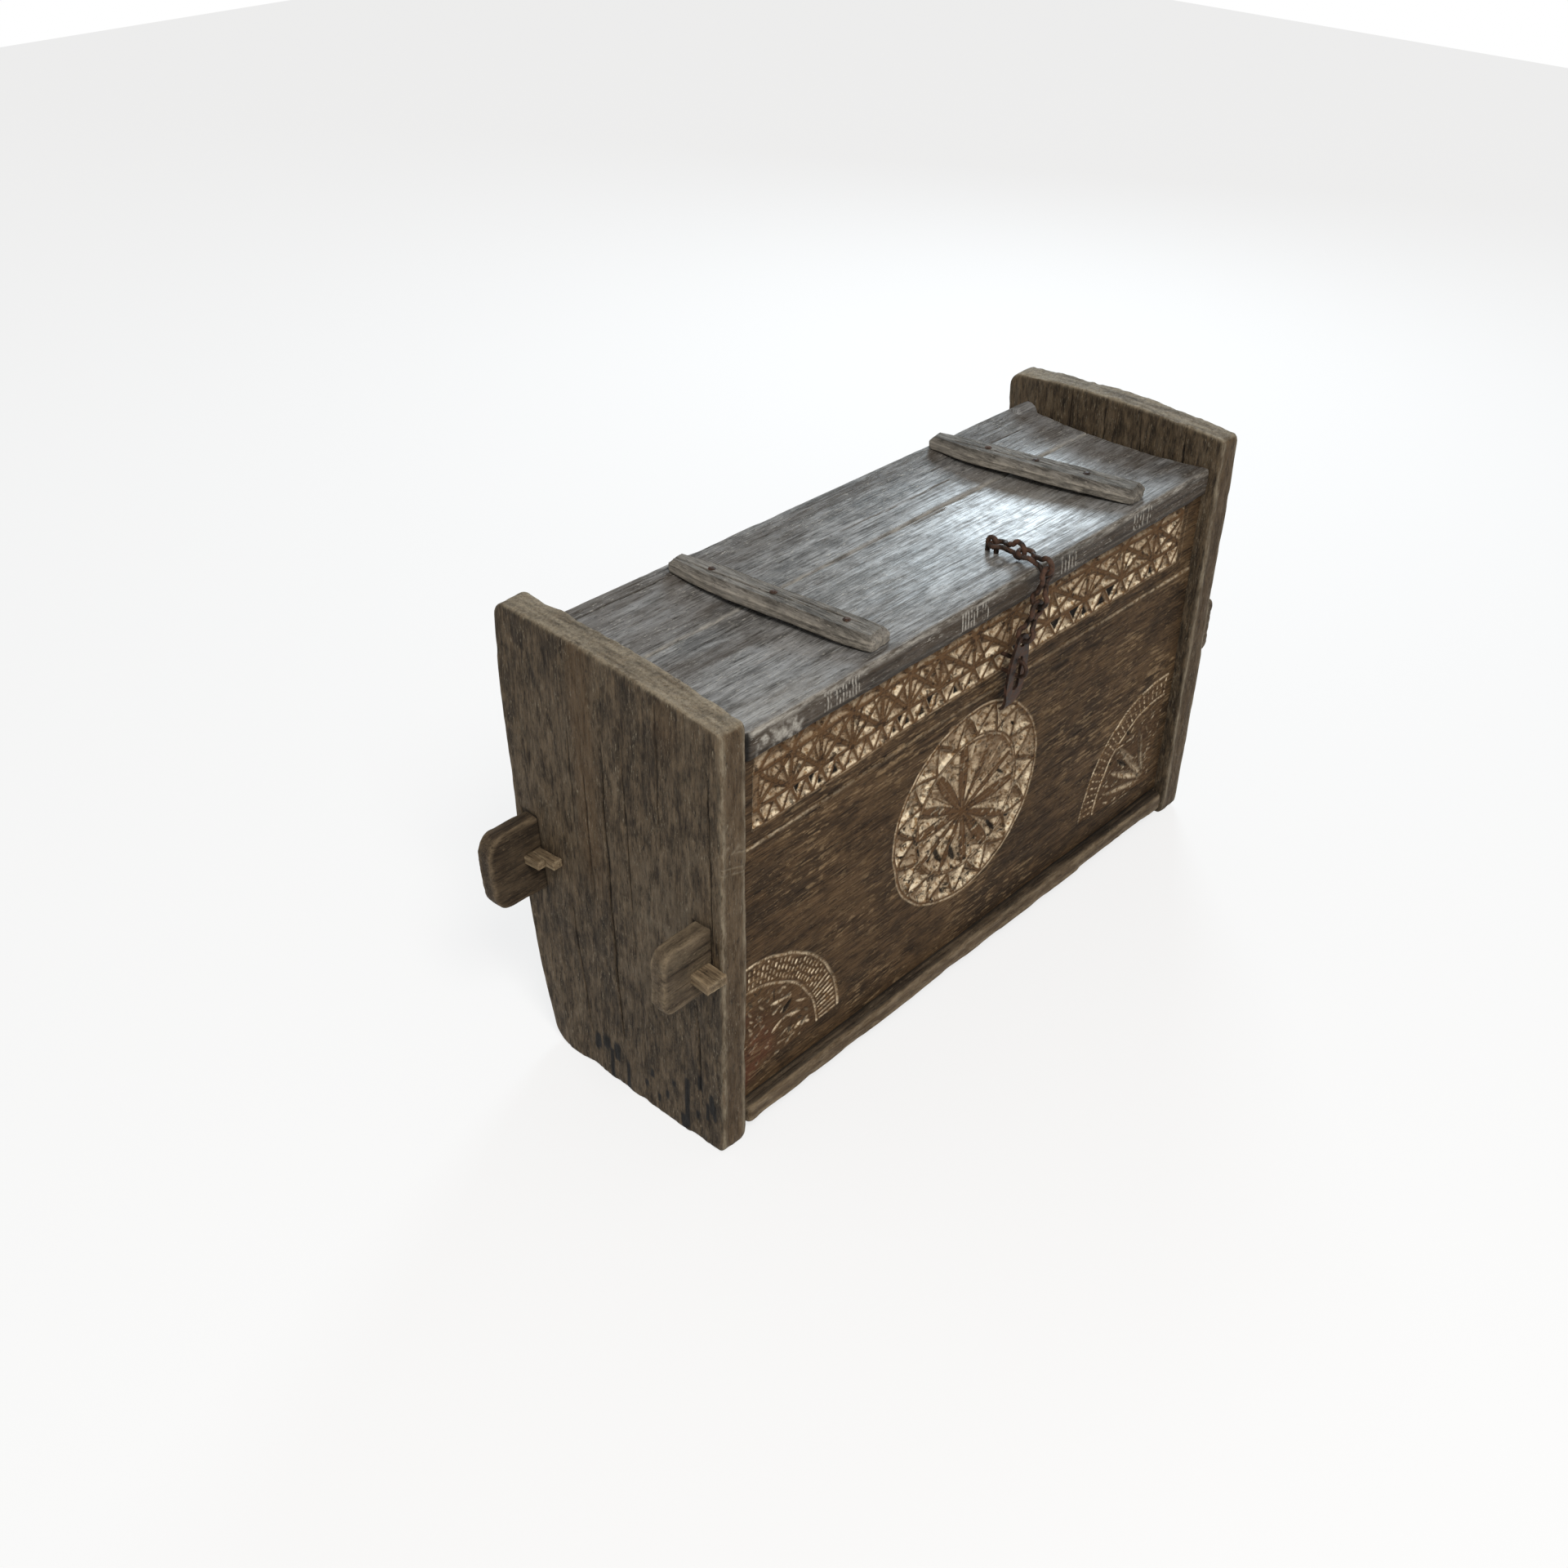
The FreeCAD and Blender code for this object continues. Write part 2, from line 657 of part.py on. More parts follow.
def make_hasp(hinge):
    """A leaf of flat iron: eye for the chain, slot for the front staple, tail curled to the front board."""
    lean = math.radians(hasp_lean)
    half = hasp_thickness / 2
    normal = Vector(0, math.cos(lean), math.sin(lean))
    down = Vector(0, math.sin(lean), -math.cos(lean))
    start = Vector(0, hinge.y, hinge.z) - down * hasp_rim
    bend = Vector(0, hinge.y, hinge.z) + down * (hasp_slot_drop + hasp_tail_start)
    centre = bend + normal * hasp_tail_radius
    end_y = front_recess - half - hasp_tail_gap
    turn_end = math.acos(math.cos(lean) - (end_y - bend.y) / hasp_tail_radius)
    turn_middle = (lean + turn_end) / 2

    def on_tail(turn, offset):
        away = Vector(0, -math.cos(turn), -math.sin(turn))
        return centre + away * (hasp_tail_radius + offset)

    side_view = [
        line(start - normal * half, bend - normal * half),
        arc(bend - normal * half, on_tail(turn_middle, half), on_tail(turn_end, half)),
        line(on_tail(turn_end, half), on_tail(turn_end, -half)),
        arc(on_tail(turn_end, -half), on_tail(turn_middle, -half), bend + normal * half),
        line(bend + normal * half, start + normal * half),
        line(start + normal * half, start - normal * half),
    ]
    strip = prism(side_view, x_axis * hasp_width)
    strip.translate(x_axis * (hinge.x - hasp_width / 2))

    eye = hasp_hole_radius + hasp_rim
    eye_z = hinge.z + hasp_rim / 2 - eye
    waist_z = hinge.z - hasp_waist_drop
    tip_z = on_tail(turn_end, half).z
    wide = hasp_width / 2
    tip = hasp_tip_width / 2
    upper_z = (eye_z + waist_z) / 2
    lower_z = (waist_z + tip_z) / 2
    upper_bulge = (eye + wide) / 2 + hasp_bow
    lower_bulge = (tip + wide) / 2 + hasp_belly

    def at(x, z):
        return Vector(hinge.x + x, -end_depth, z)

    front_view = [
        arc(at(eye, eye_z), at(0, eye_z + eye), at(-eye, eye_z)),
        line(at(-tip, tip_z), at(tip, tip_z)),
    ]
    for side in (-1, 1):
        shoulder = at(side * wide, waist_z)
        front_view.append(arc(at(side * eye, eye_z), at(side * upper_bulge, upper_z), shoulder))
        front_view.append(arc(shoulder, at(side * lower_bulge, lower_z), at(side * tip, tip_z)))
    leaf = prism(front_view, y_axis * (2 * end_depth)).common(strip)

    hole = Part.makeCylinder(hasp_hole_radius, 2 * end_depth, at(0, eye_z), y_axis)
    slot_half = hasp_slot_width / 2
    slot_high = hinge.z - hasp_slot_top_drop - slot_half
    slot_low = hinge.z - hasp_slot_drop + slot_half
    slot = [
        line(at(-slot_half, slot_low), at(-slot_half, slot_high)),
        arc(at(-slot_half, slot_high), at(0, slot_high + slot_half), at(slot_half, slot_high)),
        line(at(slot_half, slot_high), at(slot_half, slot_low)),
        arc(at(slot_half, slot_low), at(0, slot_low - slot_half), at(-slot_half, slot_low)),
    ]
    return leaf.cut([hole, prism(slot, y_axis * (2 * end_depth))])


def make_front_staple(hinge, grow=0.0):
    """The eye staple in the front board: a long round loop, its legs clinched on the inside."""
    middle_z = hinge.z - ring_drop
    loop_y = front_recess - ring_proud + ring_radius + ring_wire / 2
    inside_y = front_back_face + ring_wire / 2 + staple_fit
    corner = clinch_bend * math.sqrt(0.5)

    def at(y, z):
        return Vector(hinge.x, y, middle_z + z)

    def leg(way):
        high = way * ring_radius
        clinch = high + way * clinch_bend
        turn_y = inside_y - clinch_bend
        return [
            line(at(inside_y, clinch + way * clinch_length), at(inside_y, clinch)),
            arc(at(inside_y, clinch), at(turn_y + corner, clinch - way * corner), at(turn_y, high)),
            line(at(turn_y, high), at(loop_y, high)),
        ]

    round_end = arc(at(loop_y, ring_radius), at(loop_y - ring_radius, 0), at(loop_y, -ring_radius))
    return tube(leg(1) + [round_end] + leg(-1)[::-1], ring_wire / 2 + grow)


# Assembly

links = lay_chain()
hasp_hinge = hasp_hinge_of(links[-1])
solids = {}

wedges, front_slots, back_slots = make_wedges()
front_cutter = front_board_blank(board_fit, cut_overrun)
back_cutter = back_board_blank(board_fit, cut_overrun)
floor_cutter = floor_blank(board_fit)
for name, side, heights in (
    ("left_end_board", -1, (left_front_height, left_crown_height, left_back_height)),
    ("right_end_board", 1, (right_front_height, right_crown_height, right_back_height)),
):
    blank = end_blank(*heights)
    blank.translate(x_axis * (half_inner if side > 0 else -end_face))
    solids[name] = blank.cut([front_cutter, back_cutter, floor_cutter, pintle_socket(side)])

solids["front_board"] = front_board_blank().cut(front_slots + [make_front_staple(hasp_hinge, staple_fit)])
solids["back_board"] = back_board_blank().cut(back_slots)
solids.update(make_floor())
solids.update(wedges)

lid = make_lid()
staple_cutter = make_lid_staple(links[0], staple_fit)
for name, middle_x, skew, shares in (
    ("left_batten", left_batten_x, left_batten_skew, left_nail_shares),
    ("right_batten", right_batten_x, right_batten_skew, right_nail_shares),
):
    places = nail_places(middle_x, skew, shares)
    cutters = [nail(place, nail_fit) for place in places]
    solids[name] = make_batten(middle_x, skew).cut(cutters)
    solids[name + "_nails"] = Part.makeCompound([nail(place, 0) for place in places])
    lid = {board: solid.cut(cutters) for board, solid in lid.items()}
solids["lid_front_board"] = lid["lid_front_board"].cut(staple_cutter)
solids["lid_back_board"] = lid["lid_back_board"]

solids["lid_staple"] = make_lid_staple(links[0])
for number, link in enumerate(links, 1):
    solids[f"chain_link_{number}"] = make_link(link)
solids["hasp"] = make_hasp(hasp_hinge)
solids["front_staple"] = make_front_staple(hasp_hinge)

# The origin is on the floor, under the middle of everything
whole = Part.makeCompound(list(solids.values())).optimalBoundingBox()
to_origin = Vector(-(whole.XMin + whole.XMax) / 2, -(whole.YMin + whole.YMax) / 2, -whole.ZMin)
for name, solid in solids.items():
    solid.translate(to_origin)
    solid.exportStep(f"parts/{name}.step")

print("origin moved by", [round(v, 4) for v in to_origin])
print("lid hinge", [round(v, 4) for v in Vector(0, hinge_y, hinge_z) + to_origin])
for number, link in enumerate(links, 1):
    place = [round(v, 4) for v in link.hinge + to_origin]
    print("chain link", number, place, [round(v, 5) for v in link.axis])
print("hasp", [round(v, 4) for v in hasp_hinge + to_origin])
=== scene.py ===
import logging
from collections.abc import Callable, Sequence
from dataclasses import dataclass, field
from enum import Enum

import bpy
import numpy as np
from mathutils import Matrix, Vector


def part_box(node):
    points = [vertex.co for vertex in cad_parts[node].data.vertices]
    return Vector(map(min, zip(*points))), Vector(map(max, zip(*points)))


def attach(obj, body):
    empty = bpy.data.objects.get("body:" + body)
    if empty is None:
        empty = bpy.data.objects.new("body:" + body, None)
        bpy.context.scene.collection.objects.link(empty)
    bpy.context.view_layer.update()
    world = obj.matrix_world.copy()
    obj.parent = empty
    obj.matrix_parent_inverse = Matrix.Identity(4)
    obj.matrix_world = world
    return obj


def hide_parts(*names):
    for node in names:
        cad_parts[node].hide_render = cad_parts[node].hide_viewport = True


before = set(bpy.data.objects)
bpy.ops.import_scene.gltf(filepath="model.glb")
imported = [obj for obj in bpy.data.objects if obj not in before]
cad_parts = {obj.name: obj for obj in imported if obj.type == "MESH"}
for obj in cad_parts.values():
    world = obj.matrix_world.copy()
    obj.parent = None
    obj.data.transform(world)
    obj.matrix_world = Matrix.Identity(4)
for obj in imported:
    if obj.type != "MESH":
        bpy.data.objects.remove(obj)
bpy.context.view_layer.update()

LOG = logging.getLogger("storage_chest")
MM = 0.001
# Folds steeper than this stay crisp
SHARP = np.radians(52.0)
# Corner radii of a board that is let into others
SQUARE = (1.0, 1.0, 1.0, 1.0)
# Further from a line than any groove is wide
AWAY = 9.0
Array = np.ndarray
Colour = tuple[float, float, float]
Spot = tuple[float, float]
Triple = tuple[float, float, float]
Petal = tuple[Spot, Spot, float, float, float, float]
Socket = bpy.types.NodeSocket


class Grain(Enum):
    """The way that a board's fibres run, with the stretch of its pattern along x, y and z."""

    ALONG_X = (5.0, 95.0, 95.0)
    ALONG_Y = (95.0, 5.0, 95.0)
    ALONG_Z = (95.0, 95.0, 5.0)


class Body(Enum):
    """The bodies that meshes are made for."""

    CARCASS = "carcass"
    LID = "lid"


class Slot(Enum):
    """The finishes named in the record."""

    END = "end_wood"
    PANEL = "panel_wood"
    RAIL = "rail_wood"
    INNER = "inner_wood"
    LID = "lid_wood"
    BATTEN = "batten_wood"
    WEDGE = "wedge_wood"
    IRON = "iron"


# Numbers and noise


def smooth(values: Array) -> Array:
    """Smooth step of a share: held to 0 to 1, then three squares less two cubes.

    Args:
        values: Shares of any size.

    Returns:
        The eased shares.
    """
    share = np.clip(values, 0.0, 1.0)
    return share * share * (3.0 - 2.0 * share)


def tent(distance: Array, width: Array | float) -> Array:
    """A share that is 1 on a line and falls evenly to 0 at a width from it."""
    return np.clip(1.0 - np.abs(distance) / width, 0.0, 1.0)


def slanted(gap: Array, run: Array, rise: float) -> Array:
    """Distance from a slanting line: the gap, as a share of its rise, taken square to its run and rise."""
    return gap * run * rise / np.hypot(run, rise)


def columns(*values: Array) -> Array:
    """Values side by side, three to a row: a column that is left out is all zeros.

    Args:
        values: One to three columns.

    Returns:
        The rows.
    """
    return np.stack([*values, *[np.zeros(len(values[0]))] * (3 - len(values))], 1)


def hashed(cells: Array, seed: int) -> Array:
    """A fixed pseudo-random share for each whole-number cell, by mixing its bits.

    Args:
        cells: Whole numbers, three to a row.
        seed: Picks one of many patterns.

    Returns:
        One share from 0 to 1 for each row.
    """
    n = cells.astype(np.int64).astype(np.uint32)
    h = n[:, 0] * np.uint32(374761393) ^ n[:, 1] * np.uint32(668265263) ^ n[:, 2] * np.uint32(2147483647)
    h = h ^ np.uint32((seed * 2654435761) % 4294967296)
    h = (h ^ (h >> np.uint32(13))) * np.uint32(1274126177)
    h = (h ^ (h >> np.uint32(16))) * np.uint32(2246822519)
    return (h ^ (h >> np.uint32(15))).astype(np.float64) / 4294967295.0


def lattice(points: Array, seed: int) -> Array:
    """Value noise: the shares of the eight cell corners round a point, blended by eased distance.

    Args:
        points: Places, three to a row, in cells.
        seed: Picks one of many patterns.

    Returns:
        One share from 0 to 1 for each place.
    """
    base = np.floor(points)
    ease = smooth(points - base)
    total = np.zeros(len(points))
    for corner in np.ndindex(2, 2, 2):
        weight = np.prod(np.where(np.array(corner) == 1, ease, 1.0 - ease), axis=1)
        total += weight * hashed(base + np.array(corner), seed)
    return total


def cloud(points: Array, size: Sequence[float], seed: int, layers: int = 4) -> Array:
    """Layered value noise: each layer twice as fine and half as strong, added and brought round 0.

    Args:
        points: Places in millimetres, three to a row.
        size: Size of the coarsest cell along the three axes, in millimetres.
        seed: Picks one of many patterns.
        layers: How many layers are added.

    Returns:
        A value from about -1 to 1 for each place.
    """
    scaled = points / np.array(size)
    strengths = 0.5 ** np.arange(layers)
    parts = [(2.0 * lattice(scaled * 2.0**k, seed + k) - 1.0) * strengths[k] for k in range(layers)]
    return np.sum(parts, axis=0) / strengths.sum() * 1.6


def graded(length: float, step: float, rim: float, marks: Sequence[float] = ()) -> Array:
    """Grid lines from 0 to a length: even steps, closer lines within a rounded rim and at given marks.

    Args:
        length: Far end.
        step: Usual distance between lines.
        rim: Width of the rounded rim at each end.
        marks: Places that have a line of their own.

    Returns:
        The places of the lines in rising order.
    """
    count = max(2, int(round(length / step)))
    near_rim = rim * (1.0 - np.cos(np.linspace(0.0, np.pi / 2.0, 5)))
    even = np.linspace(0.0, length, count + 1)
    lines = np.concatenate([even, near_rim, length - near_rim, np.asarray(marks, float)])
    lines = np.unique(np.clip(lines, 0.0, length).round(4))
    keep = np.concatenate([[True], np.diff(lines) > 0.12])
    keep[-1] = True
    return lines[keep]


# Meshes


@dataclass(frozen=True)
class Datum:
    """The chest's own zero in the frame: middle of its length, front edges of its ends, floor."""

    x: float
    y: float

    @classmethod
    def of_frame(cls) -> "Datum":
        """The zero, read from the two end boards' boxes."""
        left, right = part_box("left_end_board"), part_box("right_end_board")
        return cls((left[1].x + right[0].x) / 2.0, left[0].y)

    def place(self, points: Array) -> Array:
        """Chest millimetres as frame metres."""
        return points * MM + np.array([self.x, self.y, 0.0])


DATUM = Datum.of_frame()


def corner_normals(points: Array, quads: Array) -> Array:
    """The outward direction at each point: the cross products of its faces' diagonals, added up.

    Args:
        points: Places, three to a row.
        quads: Four point numbers to a row.

    Returns:
        One unit direction for each point.
    """
    across = np.cross(points[quads[:, 2]] - points[quads[:, 0]], points[quads[:, 3]] - points[quads[:, 1]])
    total = np.zeros_like(points)
    for column in range(4):
        np.add.at(total, quads[:, column], across)
    return total / np.maximum(np.linalg.norm(total, axis=1, keepdims=True), 1e-12)


def enclosed(points: Array, quads: Array) -> float:
    """Signed volume inside closed faces: a sum of boxes from the origin, negative if inside out."""
    a, b, c, d = (points[quads[:, k]] for k in range(4))
    return float(np.einsum("ij,ij->", a, np.cross(b, c)) + np.einsum("ij,ij->", a, np.cross(c, d))) / 6.0


def grid_faces(nu: int, nv: int) -> tuple[Array, Array]:
    """Faces of four over a grid of points, and the point numbers once round its rim.

    Args:
        nu: Lines along the first way.
        nv: Lines along the second way.

    Returns:
        The faces, then the rim.
    """
    number = np.arange(nu * nv).reshape(nu, nv)
    faces = np.stack([number[:-1, :-1], number[1:, :-1], number[1:, 1:], number[:-1, 1:]], -1)
    rim = np.concatenate([number[:-1, 0], number[-1, :-1], number[:0:-1, -1], number[0, :0:-1]])
    return faces.reshape(-1, 4), rim


def strip(upper: Array, lower: Array) -> Array:
    """Faces of four between two closed rings of as many points."""
    return np.stack([upper, lower, np.roll(lower, -1), np.roll(upper, -1)], 1)


def cap(ring: Array, hub: int) -> Array:
    """Triangles from a closed ring to a middle point, each with its last corner doubled."""
    middle = np.full(len(ring), hub)
    return np.stack([np.roll(ring, -1), ring, middle, middle], 1)


@dataclass
class Piece:
    """A closed mesh in chest millimetres with the marks that its finish reads."""

    name: str
    points: Array
    quads: Array
    marks: dict[str, Array] = field(default_factory=dict)

    def make(self, body: Body, slot: Slot, material: bpy.types.Material, nodes: Sequence[str]) -> None:
        """Puts the mesh into the scene, facing outwards, riding on its body.

        Args:
            body: What it moves with.
            slot: The record's finish. Not used.
            material: Its dress.
            nodes: The CAD nodes that it stands for.
        """
        quads = self.quads if enclosed(self.points, self.quads) > 0 else self.quads[:, [1, 0, 3, 2]]
        mesh = bpy.data.meshes.new(self.name)
        mesh.vertices.add(len(self.points))
        mesh.vertices.foreach_set("co", DATUM.place(self.points).astype(np.float32).ravel())
        sizes = np.where(quads[:, 3] == quads[:, 2], 3, 4)
        corners = quads[np.arange(4) < sizes[:, None]]
        mesh.loops.add(len(corners))
        mesh.loops.foreach_set("vertex_index", corners.astype(np.int32))
        mesh.polygons.add(len(quads))
        starts = np.concatenate([[0], np.cumsum(sizes)[:-1]]).astype(np.int32)
        mesh.polygons.foreach_set("loop_start", starts)
        mesh.polygons.foreach_set("use_smooth", np.ones(len(quads), bool))
        for mark, values in self.marks.items():
            layer = mesh.attributes.new(mark, "FLOAT", "POINT")
            layer.data.foreach_set("value", values.astype(np.float32))
        mesh.update(calc_edges=True)
        mesh.set_sharp_from_angle(angle=SHARP)
        mesh.materials.append(material)
        made = bpy.data.objects.new(self.name, mesh)
        bpy.context.scene.collection.objects.link(made)
        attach(made, body.value)
        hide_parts(*nodes)
        LOG.info("%s: %d faces on %s", self.name, len(quads), body.value)


@dataclass(frozen=True)
class Crack:
    """A drying crack along the grain: where it starts and ends, its place across, slant, width and depth."""

    start: float
    end: float
    across: float
    slant: float = 0.0
    width: float = 1.6
    depth: float = 5.0
    face: int = 1
    tone: float = 0.9

    def cut(self, points: Array, normals: Array) -> Array:
        """Depth of the crack at each point: a narrow V whose width swells and dies along a wandering line.

        Args:
            points: Board coordinates in millimetres.
            normals: Outward directions there.

        Returns:
            Depth in millimetres.
        """
        run = (points[:, 0] - self.start) / (self.end - self.start)
        wander = cloud(points * [1.0, 0.0, 0.0], (70.0, 1.0, 1.0), int(abs(self.across) * 7) + 3, 3)
        line = self.across + self.slant * (points[:, 0] - self.start) + 1.8 * wander
        inside = np.clip(np.sin(np.pi * np.clip(run, 0.0, 1.0)), 0.0, 1.0) ** 0.6
        near = tent(points[:, 1] - line, self.width * inside + 1e-6)
        facing = np.clip(normals[:, 2] * self.face, 0.0, 1.0)
        return self.depth * near * inside * np.where(facing > 0.2, 1.0, 0.0)


class Marks:
    """What a board's own details do at each point: depth in millimetres, and shares of each tint."""

    def __init__(self, count: int) -> None:
        """Starts with nothing at any of the points."""
        self.depth, self.pale, self.dark, self.polish, self.warm, self.kept = np.zeros((6, count))


@dataclass
class Plank:
    """A board on a grid: u along the grain, v across it, n through its thickness.

    The parameter rectangle has its corners drawn to quarter rounds, its rims to the given radii,
    and is then bent to its real shape by a function of u, v and n.
    """

    name: str
    length: float
    width: float
    thickness: float
    shape: Callable[[Array], Array]
    step: tuple[float, float] = (6.0, 2.0)
    corners: tuple[float, float, float, float] = (2.0, 2.0, 2.0, 2.0)
    rims: tuple[float, float] = (3.0, 3.0)
    ridge: float = 0.45
    dent: float = 0.9
    worn: float = 1.6
    seed: int = 1
    cracks: tuple[Crack, ...] = ()
    details: Callable[[Marks, Array, Array], None] | None = None
    line_marks: tuple[tuple[float, ...], tuple[float, ...]] = ((), ())
    bevelled: bool = False
    swell: float = 0.2

    def rounded(self, u: Array, v: Array) -> tuple[Array, Array]:
        """Draws the square rings near each corner to round ones: same distance in, quarter-circle shape."""
        for (at_far_u, at_far_v), radius in zip(((0, 0), (1, 0), (1, 1), (0, 1)), self.corners):
            du = radius - (self.length - u if at_far_u else u)
            dv = radius - (self.width - v if at_far_v else v)
            here = (du > 0) & (dv > 0)
            reach = np.maximum(np.hypot(du, dv), 1e-9)
            pull = np.where(here, np.maximum(du, dv) / reach, 1.0)
            u = np.where(here, u + (du - du * pull) * (-1 if at_far_u else 1), u)
            v = np.where(here, v + (dv - dv * pull) * (-1 if at_far_v else 1), v)
        return u, v

    def blank(self) -> tuple[Array, Array, Array]:
        """The clean board.

        Returns:
            Points in board coordinates, faces of four, and each point's distance in from the rim.
        """
        rim = max(self.rims)
        us = graded(self.length, self.step[0], rim, self.line_marks[0])
        vs = graded(self.width, self.step[1], rim, self.line_marks[1])
        u, v = (grid.ravel() for grid in np.meshgrid(us, vs, indexing="ij"))
        inset = np.minimum(np.minimum(u, self.length - u), np.minimum(v, self.width - v))
        ru, rv = self.rounded(u, v)

        def drop(radius: float) -> Array:
            """Fall of a face near its rim: a quarter circle, or a plain bevel."""
            gap = np.clip(radius - inset, 0.0, radius)
            return gap if self.bevelled else radius - np.sqrt(np.maximum(radius**2 - gap**2, 0.0))

        top = columns(ru, rv, self.thickness - drop(self.rims[0]))
        low = columns(ru, rv, drop(self.rims[1]))
        face, ring = grid_faces(len(us), len(vs))
        wall = self.thickness - sum(self.rims)
        rows = max(1, int(round(wall / max(self.step[1], 2.0))))
        shares = np.linspace(0.0, 1.0, rows + 1)[1:-1, None, None]
        walls = (top[ring] * (1.0 - shares) + low[ring] * shares).reshape(-1, 3)
        count, around = len(top), np.arange(len(ring))
        levels = [ring, *(2 * count + k * len(ring) + around for k in range(rows - 1)), ring + count]
        strips = [strip(upper, lower) for upper, lower in zip(levels[:-1], levels[1:])]
        quads = np.concatenate([face, face[:, ::-1] + count, *strips])
        inset = np.concatenate([inset, inset, np.zeros(len(walls))])
        return np.concatenate([top, low, walls]), quads, inset

    def build(self) -> Piece:
        """The weathered board: ridges of grain, dents, edges rubbed down and cracks, along its own normals.

        Returns:
            The piece, with marks for edges, cracks and tints.
        """
        points, quads, inset = self.blank()
        normals = corner_normals(points, quads)
        fibres = cloud(points, (150.0, 7.0, 7.0), self.seed, 3)
        waves = cloud(points, (130.0, 45.0, 45.0), self.seed + 11, 3)
        scuffs = cloud(points, (38.0, 20.0, 20.0), self.seed + 23, 3)
        to_face = np.minimum(points[:, 2], self.thickness - points[:, 2])
        edge = np.exp(-(inset + np.clip(to_face - max(self.rims), 0.0, None)) / 5.0)
        cuts, dark = np.zeros((2, len(points)))
        for crack in self.cracks:
            cut = crack.cut(points, normals)
            cuts = np.maximum(cuts, cut)
            dark = np.maximum(dark, crack.tone * np.clip(cut / 2.5, 0.0, 1.0))
        rubbed = self.worn * edge * np.clip(scuffs + 0.15, 0.0, 1.0)
        offset = self.ridge * fibres + self.dent * waves - rubbed - cuts
        found = Marks(len(points))
        if self.details is not None:
            self.details(found, self.shape(points), normals)
        worked = points + normals * np.clip(offset - found.depth, -6.0, self.swell)[:, None]
        # The crack mark also carries the details' dark marks, the lid's painted shadow and shade among them;
        # the pale mark carries the lid's painted sheen.
        marks = {
            "edge": edge * (1.0 - found.kept), "crack": np.maximum(dark, found.dark),
            "pale": found.pale, "polish": found.polish, "warm": found.warm,
        }
        return Piece(self.name, self.shape(worked), quads, marks)


# Shader graphs


@dataclass
class Graph:
    """A short hand for adding nodes to a tree."""

    tree: bpy.types.NodeTree

    def add(self, kind: str, inputs: dict | None = None, **settings: object) -> bpy.types.Node:
        """Adds a node, sets it up, and links or fills its inputs.

        Args:
            kind: Blender's node type.
            inputs: Values or sockets by input name or number.
            settings: The node's own properties.

        Returns:
            The node.
        """
        node = self.tree.nodes.new(kind)
        for name, value in settings.items():
            setattr(node, name, value)
        for key, value in (inputs or {}).items():
            if isinstance(value, Socket):
                self.tree.links.new(value, node.inputs[key])
            else:
                node.inputs[key].default_value = value
        return node

    def noise(self, vector: Socket, scale: float, detail: float = 4.0, rough: float = 0.6) -> Socket:
        """Noise over a vector, as a value."""
        inputs = {"Vector": vector, "Scale": scale, "Detail": detail, "Roughness": rough}
        return self.add("ShaderNodeTexNoise", inputs).outputs["Fac"]

    def calc(self, operation: str, a: object, b: object = 0.0) -> Socket:
        """One sum."""
        return self.add("ShaderNodeMath", {0: a, 1: b}, operation=operation).outputs[0]

    def span(
        self, value: object, low: float, high: float, to_low: float = 0.0, to_high: float = 1.0
    ) -> Socket:
        """A value stretched from one range to another, and held there."""
        limits = {"Value": value, "From Min": low, "From Max": high, "To Min": to_low, "To Max": to_high}
        return self.add("ShaderNodeMapRange", limits).outputs["Result"]

    def mix(self, share: object, a: object, b: object) -> Socket:
        """Two colours mixed."""
        return self.add("ShaderNodeMix", {0: share, 6: a, 7: b}, data_type="RGBA").outputs[2]

    def scaled(self, vector: Socket, scale: Sequence[float]) -> Socket:
        """A vector stretched along its axes."""
        return self.add("ShaderNodeMapping", {"Vector": vector, "Scale": scale}).outputs[0]

    def mark(self, name: str) -> Socket:
        """One of the mesh's own marks, as a value."""
        return self.add("ShaderNodeAttribute", attribute_name=name).outputs["Fac"]

    def bump(self, height: Socket, strength: float, distance: float) -> Socket:
        """A normal that is bent by a height."""
        inputs = {"Height": height, "Strength": strength, "Distance": distance}
        return self.add("ShaderNodeBump", inputs).outputs["Normal"]

    def group(self, tree: bpy.types.NodeTree, inputs: dict) -> bpy.types.bpy_prop_collection:
        """Places a shared group, fills its inputs and gives its outputs."""
        return self.add("ShaderNodeGroup", inputs, node_tree=tree).outputs

    def send(self, value: Socket, node: bpy.types.Node, name: str) -> None:
        """Links a value to a node's input."""
        self.tree.links.new(value, node.inputs[name])


